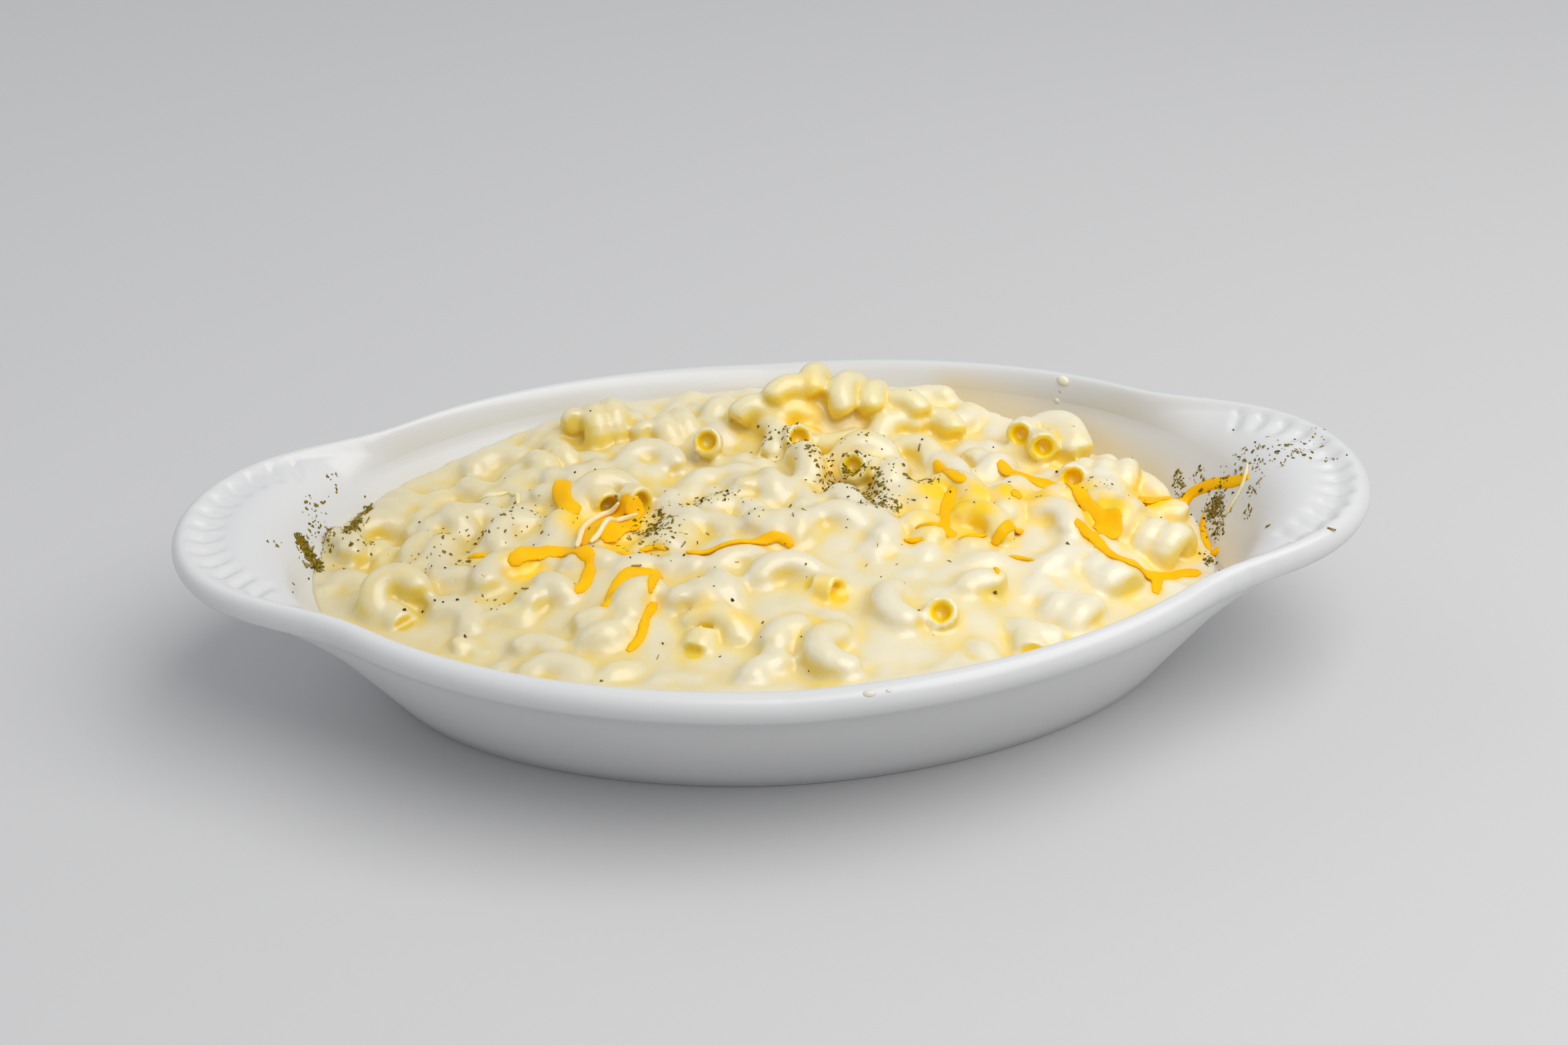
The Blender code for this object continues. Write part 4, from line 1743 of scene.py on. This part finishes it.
@dataclass
class Shreds:
    """The grated cheese that lies on the food."""

    name: str
    shreds: tuple[Shred, ...]
    finish: Finish
    voxel: float = 0.45 * MM
    passes: int = 2
    widening: float = 1.6
    sides: int = 12
    spacing: float = 0.9 * MM
    fewest_rings: int = 5
    straightening: int = 3
    settling: int = 6
    end_fullness: float = 0.55
    fullness_step: float = 0.25
    wobble: float = 0.14
    wobble_scale: float = 300
    usual_height: float = 30 * MM  # where nothing lies under a strip

    def ridden(self, shred: Shred, ground: BVHTree) -> Array:
        """Rings along a strip that lies over what is under it.

        Args:
            shred: the strip.
            ground: the surfaces that it lies on.

        Returns:
            The rings, as rings x points x 3.
        """
        places = np.array(shred.places, float) * MM
        run = np.concatenate(([0.0], np.cumsum(np.linalg.norm(np.diff(places, axis=0), axis=1))))
        count = max(self.fewest_rings, int(run[-1] / self.spacing))
        at = np.linspace(0, run[-1], count)
        flat = np.stack([np.interp(at, run, places[:, axis]) for axis in (0, 1)], axis=-1)
        for _ in range(self.straightening):
            flat[1:-1] = (flat[:-2] + 2 * flat[1:-1] + flat[2:]) / 4
        height, normal = self.under(ground, flat)
        for _ in range(self.settling):
            height[1:-1] = np.maximum(height[1:-1], (height[:-2] + 2 * height[1:-1] + height[2:]) / 4)
            normal[1:-1] = normal[:-2] + 2 * normal[1:-1] + normal[2:]
            normal /= np.linalg.norm(normal, axis=1)[:, None]
        line = np.column_stack((flat, height)) + normal * shred.lift * MM
        heading = np.gradient(line, axis=0)
        aside = np.cross(normal, heading)
        aside /= np.linalg.norm(aside, axis=1)[:, None]
        turn = np.linspace(0, 2 * math.pi, self.sides, endpoint=False)
        rings = []
        for index, (x, y) in enumerate(flat):
            from_end = min(index, count - 1 - index)
            fullness = min(1.0, self.end_fullness + self.fullness_step * from_end)
            wobble = 1 + self.wobble * noise.noise(Vector((x, y, run[-1])) * self.wobble_scale)
            half = shred.width * self.widening * MM / 2 * fullness * wobble
            thick = shred.thickness * MM / 2 * fullness
            out, over = aside[index] * half, normal[index] * thick
            rings.append([line[index] + out * math.cos(t) + over * math.sin(t) for t in turn])
        return np.array(rings)

    def under(self, ground: BVHTree, flat: Array) -> tuple[Array, Array]:
        """What lies under places seen from above.

        Args:
            ground: the surfaces to look for.
            flat: the places, as rows of x and y.

        Returns:
            The height of the highest surface at each place, and the way it faces.
        """
        heights, normals = [], []
        for x, y in flat:
            place, normal = Workshop.below(ground, x, y)
            heights.append(place.z if place else self.usual_height)
            normals.append(tuple(normal) if normal else (0.0, 0.0, 1.0))
        return np.array(heights), np.array(normals)

    def build(self, ground: BVHTree) -> Piece:
        """Builds all strips as one piece in which those that touch have melted together.

        Args:
            ground: the surfaces that they lie on.

        Returns:
            The piece.
        """
        strips = []
        for index, shred in enumerate(self.shreds):
            rings = self.ridden(shred, ground)
            strips.append(Workshop.ring_stack(f"{self.name}_{index}", rings, Ends.CAPPED))
        piece = Workshop.joined(self.name, strips)
        Workshop.remeshed(piece, self.voxel)
        Workshop.smoothed(piece, self.passes)
        Workshop.dressed(piece, self.finish, "cheese_sauce")
        return piece


@dataclass(frozen=True)
class Sprinkle:
    """Flecks scattered about a place in mm: how widely and how many."""

    x: float
    y: float
    spread_x: float
    spread_y: float
    count: int


LEAF_SPRINKLES = (
    # Against the wall at the -X end, and in the cleft behind it.
    Sprinkle(-113.5, 5.5, 0.5, 0.9, 130),
    Sprinkle(-112, 4, 0.6, 1.0, 170),
    Sprinkle(-110.3, 2.5, 0.7, 1.1, 170),
    Sprinkle(-109, 0.5, 0.5, 0.8, 40),
    Sprinkle(-111, 12, 0.7, 1.8, 25),
    Sprinkle(-108, 12, 1.0, 2.2, 35),
    Sprinkle(-103, 12, 0.7, 1.3, 60),
    Sprinkle(-101.5, 16, 0.6, 1.4, 80),
    Sprinkle(-100, 24, 0.5, 2.2, 80),
    Sprinkle(-111, 17, 1.7, 1.7, 30),
    Sprinkle(-108, 27, 1.3, 2, 12),
    Sprinkle(-117, -3, 0.7, 1.4, 7),
    Sprinkle(-100, 8, 2.5, 2.5, 30),
    Sprinkle(-86, -8, 4, 2, 16),
    Sprinkle(-72, 4, 9, 5, 50),
    Sprinkle(-58, 9, 5, 6, 26),
    Sprinkle(-65, -24, 4, 3, 10),
    # In the middle.
    Sprinkle(-28, -4, 2.6, 4.0, 110),
    Sprinkle(-28, 3, 2.2, 2.2, 40),
    Sprinkle(-14, 8, 5, 2.2, 45),
    Sprinkle(0, 38, 2, 2, 18),
    Sprinkle(6, 33, 2.5, 2.5, 35),
    Sprinkle(13, 22, 2.0, 4.0, 60),
    Sprinkle(18, 16, 2.6, 2.4, 120),
    Sprinkle(24, 12, 2.8, 2.4, 120),
    Sprinkle(27, 4, 2.6, 2.2, 80),
    Sprinkle(36, 14, 3.0, 1.5, 45),
    Sprinkle(24, 30, 5, 2, 14),
    Sprinkle(0, 0, 50, 28, 60),
    Sprinkle(78, 10, 8, 3, 26),
    # Against the wall at the +X end, and up it on to the ear.
    Sprinkle(102, 22, 0.7, 1.6, 45),
    Sprinkle(106, 20, 1.2, 1.2, 12),
    Sprinkle(108.5, 9, 1.1, 2.2, 170),
    Sprinkle(108, 3, 0.8, 1.8, 40),
    Sprinkle(104, -6, 0.8, 1.2, 22),
    Sprinkle(113, -3, 0.8, 1.2, 12),
    Sprinkle(115.5, 2, 1.0, 1.4, 20),
    Sprinkle(115, 12, 2.2, 2.6, 34),
    Sprinkle(120, 9, 2.4, 2.4, 26),
    Sprinkle(127, 9, 3.2, 2.6, 26),
    Sprinkle(132, 13, 2.0, 2.2, 18),
    Sprinkle(133, 3, 1.6, 1.6, 10),
    Sprinkle(114, -18, 0.3, 0.3, 3),
)

PEPPER_SPRINKLES = (
    Sprinkle(20, 16, 5, 5, 20),
    Sprinkle(27, 7, 4, 3, 22),
    Sprinkle(-28, -6, 5, 5, 10),
    Sprinkle(0, -8, 55, 32, 55),
    Sprinkle(-70, -12, 16, 12, 16),
    Sprinkle(110, 8, 4, 5, 8),
    Sprinkle(-108, 8, 4, 7, 6),
    Sprinkle(115, 24, 0.1, 0.1, 1),
)

STALK_SPRINKLES = (
    Sprinkle(108.5, 8, 1.4, 3, 34),
    Sprinkle(-111.5, 4, 1.0, 1.8, 28),
    Sprinkle(-101, 18, 1.0, 4, 18),
    Sprinkle(20, 14, 5, 5, 28),
    Sprinkle(-28, -6, 5, 4, 20),
    Sprinkle(0, 0, 50, 28, 18),
    Sprinkle(119, 10, 5, 4, 14),
    Sprinkle(126, -28, 0.2, 0.2, 1),
)


class Fleck(Enum):
    """The kinds of dried seasoning."""

    LEAF = "leaf"
    PEPPER = "pepper"
    STALK = "stalk"


@dataclass
class Seasoning:
    """One kind of dried herb or pepper, every bit of it in one piece."""

    name: str
    kind: Fleck
    sprinkles: tuple[Sprinkle, ...]
    smallest: float
    largest: float
    finish: Finish
    seed: int
    leaf_thickness: float = 0.14
    stalk_radius: float = 0.11
    lobes: tuple[tuple[int, float], ...] = ((2, 0.25), (3, 0.2))
    narrowing: Span = (0.35, 0.9)
    bend: Span = (-0.5, 0.5)
    tilt: float = 0.3
    lift: float = 0.06
    lowest: float = 20 * MM

    def model(self) -> Piece:
        """One bit of this kind, about a metre across."""
        if self.kind is Fleck.STALK:
            lying = (0, math.pi / 2, 0)
            radius = self.stalk_radius
            bpy.ops.mesh.primitive_cylinder_add(vertices=5, radius=radius, depth=1.0, rotation=lying)
            bpy.ops.object.transform_apply(rotation=True)
        elif self.kind is Fleck.LEAF:
            bpy.ops.mesh.primitive_cylinder_add(vertices=6, radius=0.5, depth=self.leaf_thickness)
        else:
            bpy.ops.mesh.primitive_ico_sphere_add(subdivisions=1, radius=0.5)
        return bpy.context.active_object

    def shaped(self, points: Array, draw: random.Random) -> Array:
        """Gives a bit an uneven outline and a bend of its own.

        Args:
            points: the points of the model.
            draw: the source of chance.

        Returns:
            The points of one bit.
        """
        turn = np.arctan2(points[:, 1], points[:, 0])
        uneven = 1.0
        for count, height in self.lobes:
            uneven = uneven + height * np.sin(count * turn + draw.uniform(0, FULL_TURN))
        shaped = points.copy()
        if self.kind is not Fleck.STALK:
            shaped[:, :2] *= uneven[:, None]
            shaped[:, 1] *= draw.uniform(*self.narrowing)
        shaped[:, 2] += draw.uniform(*self.bend) * shaped[:, 0] ** 2
        return shaped

    def build(self, ground: BVHTree) -> Piece:
        """Scatters the bits over what is under them.

        Args:
            ground: the surfaces that they lie on.

        Returns:
            The piece with every bit.
        """
        draw = random.Random(self.seed)
        model = self.model()
        base = Workshop.points(model)
        faces = [tuple(f.vertices) for f in model.data.polygons]
        points: list[Array] = []
        polygons: list[tuple[int, ...]] = []
        for sprinkle in self.sprinkles:
            for _ in range(sprinkle.count):
                x = draw.gauss(sprinkle.x, sprinkle.spread_x) * MM
                y = draw.gauss(sprinkle.y, sprinkle.spread_y) * MM
                place, normal = Workshop.below(ground, x, y)
                if place is None or place.z < self.lowest:
                    continue
                size = self.smallest + (self.largest - self.smallest) * draw.random() ** 2
                tilts = draw.gauss(0, self.tilt), draw.gauss(0, self.tilt)
                turned = Euler((*tilts, draw.uniform(0, FULL_TURN))).to_matrix()
                turned = normal.to_track_quat("Z", "Y").to_matrix() @ turned
                bit = self.shaped(base, draw) * size @ np.array(turned).T
                start = len(points) * len(base)
                points.append(bit + np.array(place + normal * size * self.lift))
                polygons.extend(tuple(start + i for i in face) for face in faces)
        mesh = bpy.data.meshes.new(self.name)
        mesh.from_pydata(np.concatenate(points).tolist(), [], polygons)
        piece = Workshop.in_scene(self.name, mesh)
        bpy.data.objects.remove(model)
        Workshop.face_outwards(piece)
        Workshop.dressed(piece, self.finish, "cheese_sauce")
        return piece


@dataclass(frozen=True)
class Drop:
    """A drop or smear of sauce: its place and size in mm and the way it points in degrees."""

    x: float
    y: float
    length: float
    width: float
    height: float
    heading: float = 0.0


@dataclass
class SauceDrops:
    """The drops of sauce on the lip."""

    drops: tuple[Drop, ...] = (
        Drop(77.2, 53.2, 3.4, 2.4, 1.5, 70),
        Drop(75.6, 52.0, 1.8, 1.4, 0.8, 30),
        Drop(17.5, -74.2, 2.8, 1.6, 0.4, 90),
        Drop(21.5, -73.8, 1.2, 0.8, 0.3, 90),
    )

    def build(self, ground: BVHTree) -> Piece:
        """Sets every drop on what is under it.

        Args:
            ground: the surfaces that they lie on.

        Returns:
            The piece with every drop.
        """
        balls = []
        for drop in self.drops:
            place, normal = Workshop.below(ground, drop.x * MM, drop.y * MM)
            bpy.ops.object.select_all(action="DESELECT")
            bpy.ops.mesh.primitive_ico_sphere_add(subdivisions=3, radius=0.5)
            ball = bpy.context.active_object
            size = np.array((drop.length, drop.width, drop.height)) * MM
            heading = Matrix.Rotation(math.radians(drop.heading), 3, "Z")
            turn = normal.to_track_quat("Z", "X").to_matrix() @ heading
            Workshop.set_points(ball, Workshop.points(ball) * size @ np.array(turn).T + np.array(place))
            balls.append(ball)
        piece = Workshop.joined("sauce_drops", balls)
        CheeseSauce.plain(piece)
        return piece


@dataclass(frozen=True)
class Light:
    """A square soft light that shines at the dish: its place and side in metres, power in watts."""

    name: str
    place: Place
    side: float
    power: float
    color: Place

    def build(self) -> None:
        """Hangs the light in its place."""
        light = bpy.data.lights.new(self.name, "AREA")
        light.size = self.side
        light.energy = self.power
        light.color = self.color
        lamp = Workshop.in_scene(self.name, light)
        lamp.location = self.place
        lamp.rotation_euler = (-Vector(self.place)).to_track_quat("-Z", "Y").to_euler()


@dataclass
class Studio:
    """The floor, the lights and the camera."""

    floor_size: float = 8.0
    key: Light = Light("key", (0.45, -0.25, 0.95), 1.0, 9.4, (1.0, 0.985, 0.96))
    fill: Light = Light("fill", (-0.8, 0.5, 0.8), 0.9, 1.5, (0.95, 0.97, 1.0))
    sky_color: Color = (0.93, 0.95, 1.0, 1)
    sky_strength: float = 0.47
    lens: float = 50.5
    nearest: float = 0.01
    camera_place: Place = (-0.00595, -0.44357, 0.3193)
    camera_ahead: Place = (0.01623, 0.84548, -0.53376)
    camera_up: Place = (0.05263, 0.53237, 0.84487)

    def build_floor(self) -> None:
        """Lays the plain pale floor."""
        bpy.ops.object.select_all(action="DESELECT")
        bpy.ops.mesh.primitive_plane_add(size=self.floor_size)
        floor = bpy.context.active_object
        floor.name = "floor"
        floor.data.materials.append(FLOOR_PAINT.material())

    def build_lights(self) -> None:
        """Hangs a key light high on the right, a weak fill on the left and a pale sky."""
        self.key.build()
        self.fill.build()
        world = bpy.data.worlds.new("sky")
        world.use_nodes = True
        backdrop = world.node_tree.nodes["Background"]
        backdrop.inputs["Color"].default_value = self.sky_color
        backdrop.inputs["Strength"].default_value = self.sky_strength
        bpy.context.scene.world = world
        bpy.context.scene.view_settings.view_transform = "Standard"

    def build_camera(self) -> None:
        """Puts the camera in front of the dish, looking about a third of a right angle down."""
        camera = bpy.data.cameras.new("camera")
        camera.lens = self.lens
        camera.clip_start = self.nearest
        holder = Workshop.in_scene("camera", camera)
        ahead = Vector(self.camera_ahead).normalized()
        right = ahead.cross(Vector(self.camera_up)).normalized()
        turn = Matrix((right, right.cross(ahead), -ahead)).transposed().to_4x4()
        holder.matrix_world = Matrix.Translation(self.camera_place) @ turn
        bpy.context.scene.camera = holder

    def build(self) -> None:
        """Sets up the whole studio."""
        self.build_floor()
        self.build_lights()
        self.build_camera()


def report(piece: Piece) -> None:
    """Logs the piece's name and how many triangles it has."""
    piece.data.calc_loop_triangles()
    LOG.info("%s: %d triangles", piece.name, len(piece.data.loop_triangles))


def main() -> None:
    """Builds every piece in turn, then the studio."""
    logging.basicConfig(level=logging.INFO, format="%(message)s")
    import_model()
    dish = GratinDish().build()
    pasta = SaucedPasta()
    body = pasta.build()
    core = pasta.build_core()
    ground = Workshop.surface(dish, body)
    cheddar = Shreds("cheddar_shreds", CHEDDAR_SHREDS, Cheddar()).build(ground)
    pasta.melt(body, cheddar)
    pale = Shreds("pale_shreds", PALE_SHREDS, PALE_CHEESE, voxel=0.36 * MM).build(ground)
    ground = Workshop.surface(dish, body, cheddar)
    seasonings = (
        Seasoning("leaf_flecks", Fleck.LEAF, LEAF_SPRINKLES, 0.4 * MM, 1.35 * MM, DRIED_LEAF, 3),
        Seasoning("pepper_bits", Fleck.PEPPER, PEPPER_SPRINKLES, 0.4 * MM, 1.0 * MM, BLACK_PEPPER, 5),
        Seasoning("stalk_bits", Fleck.STALK, STALK_SPRINKLES, 0.8 * MM, 2.4 * MM, DRIED_STALK, 8),
    )
    pieces = [dish, body, core, cheddar, pale, SauceDrops().build(ground)]
    pieces += [seasoning.build(ground) for seasoning in seasonings]
    for piece in pieces:
        report(piece)
    Studio().build()


if __name__ == "__main__":
    main()
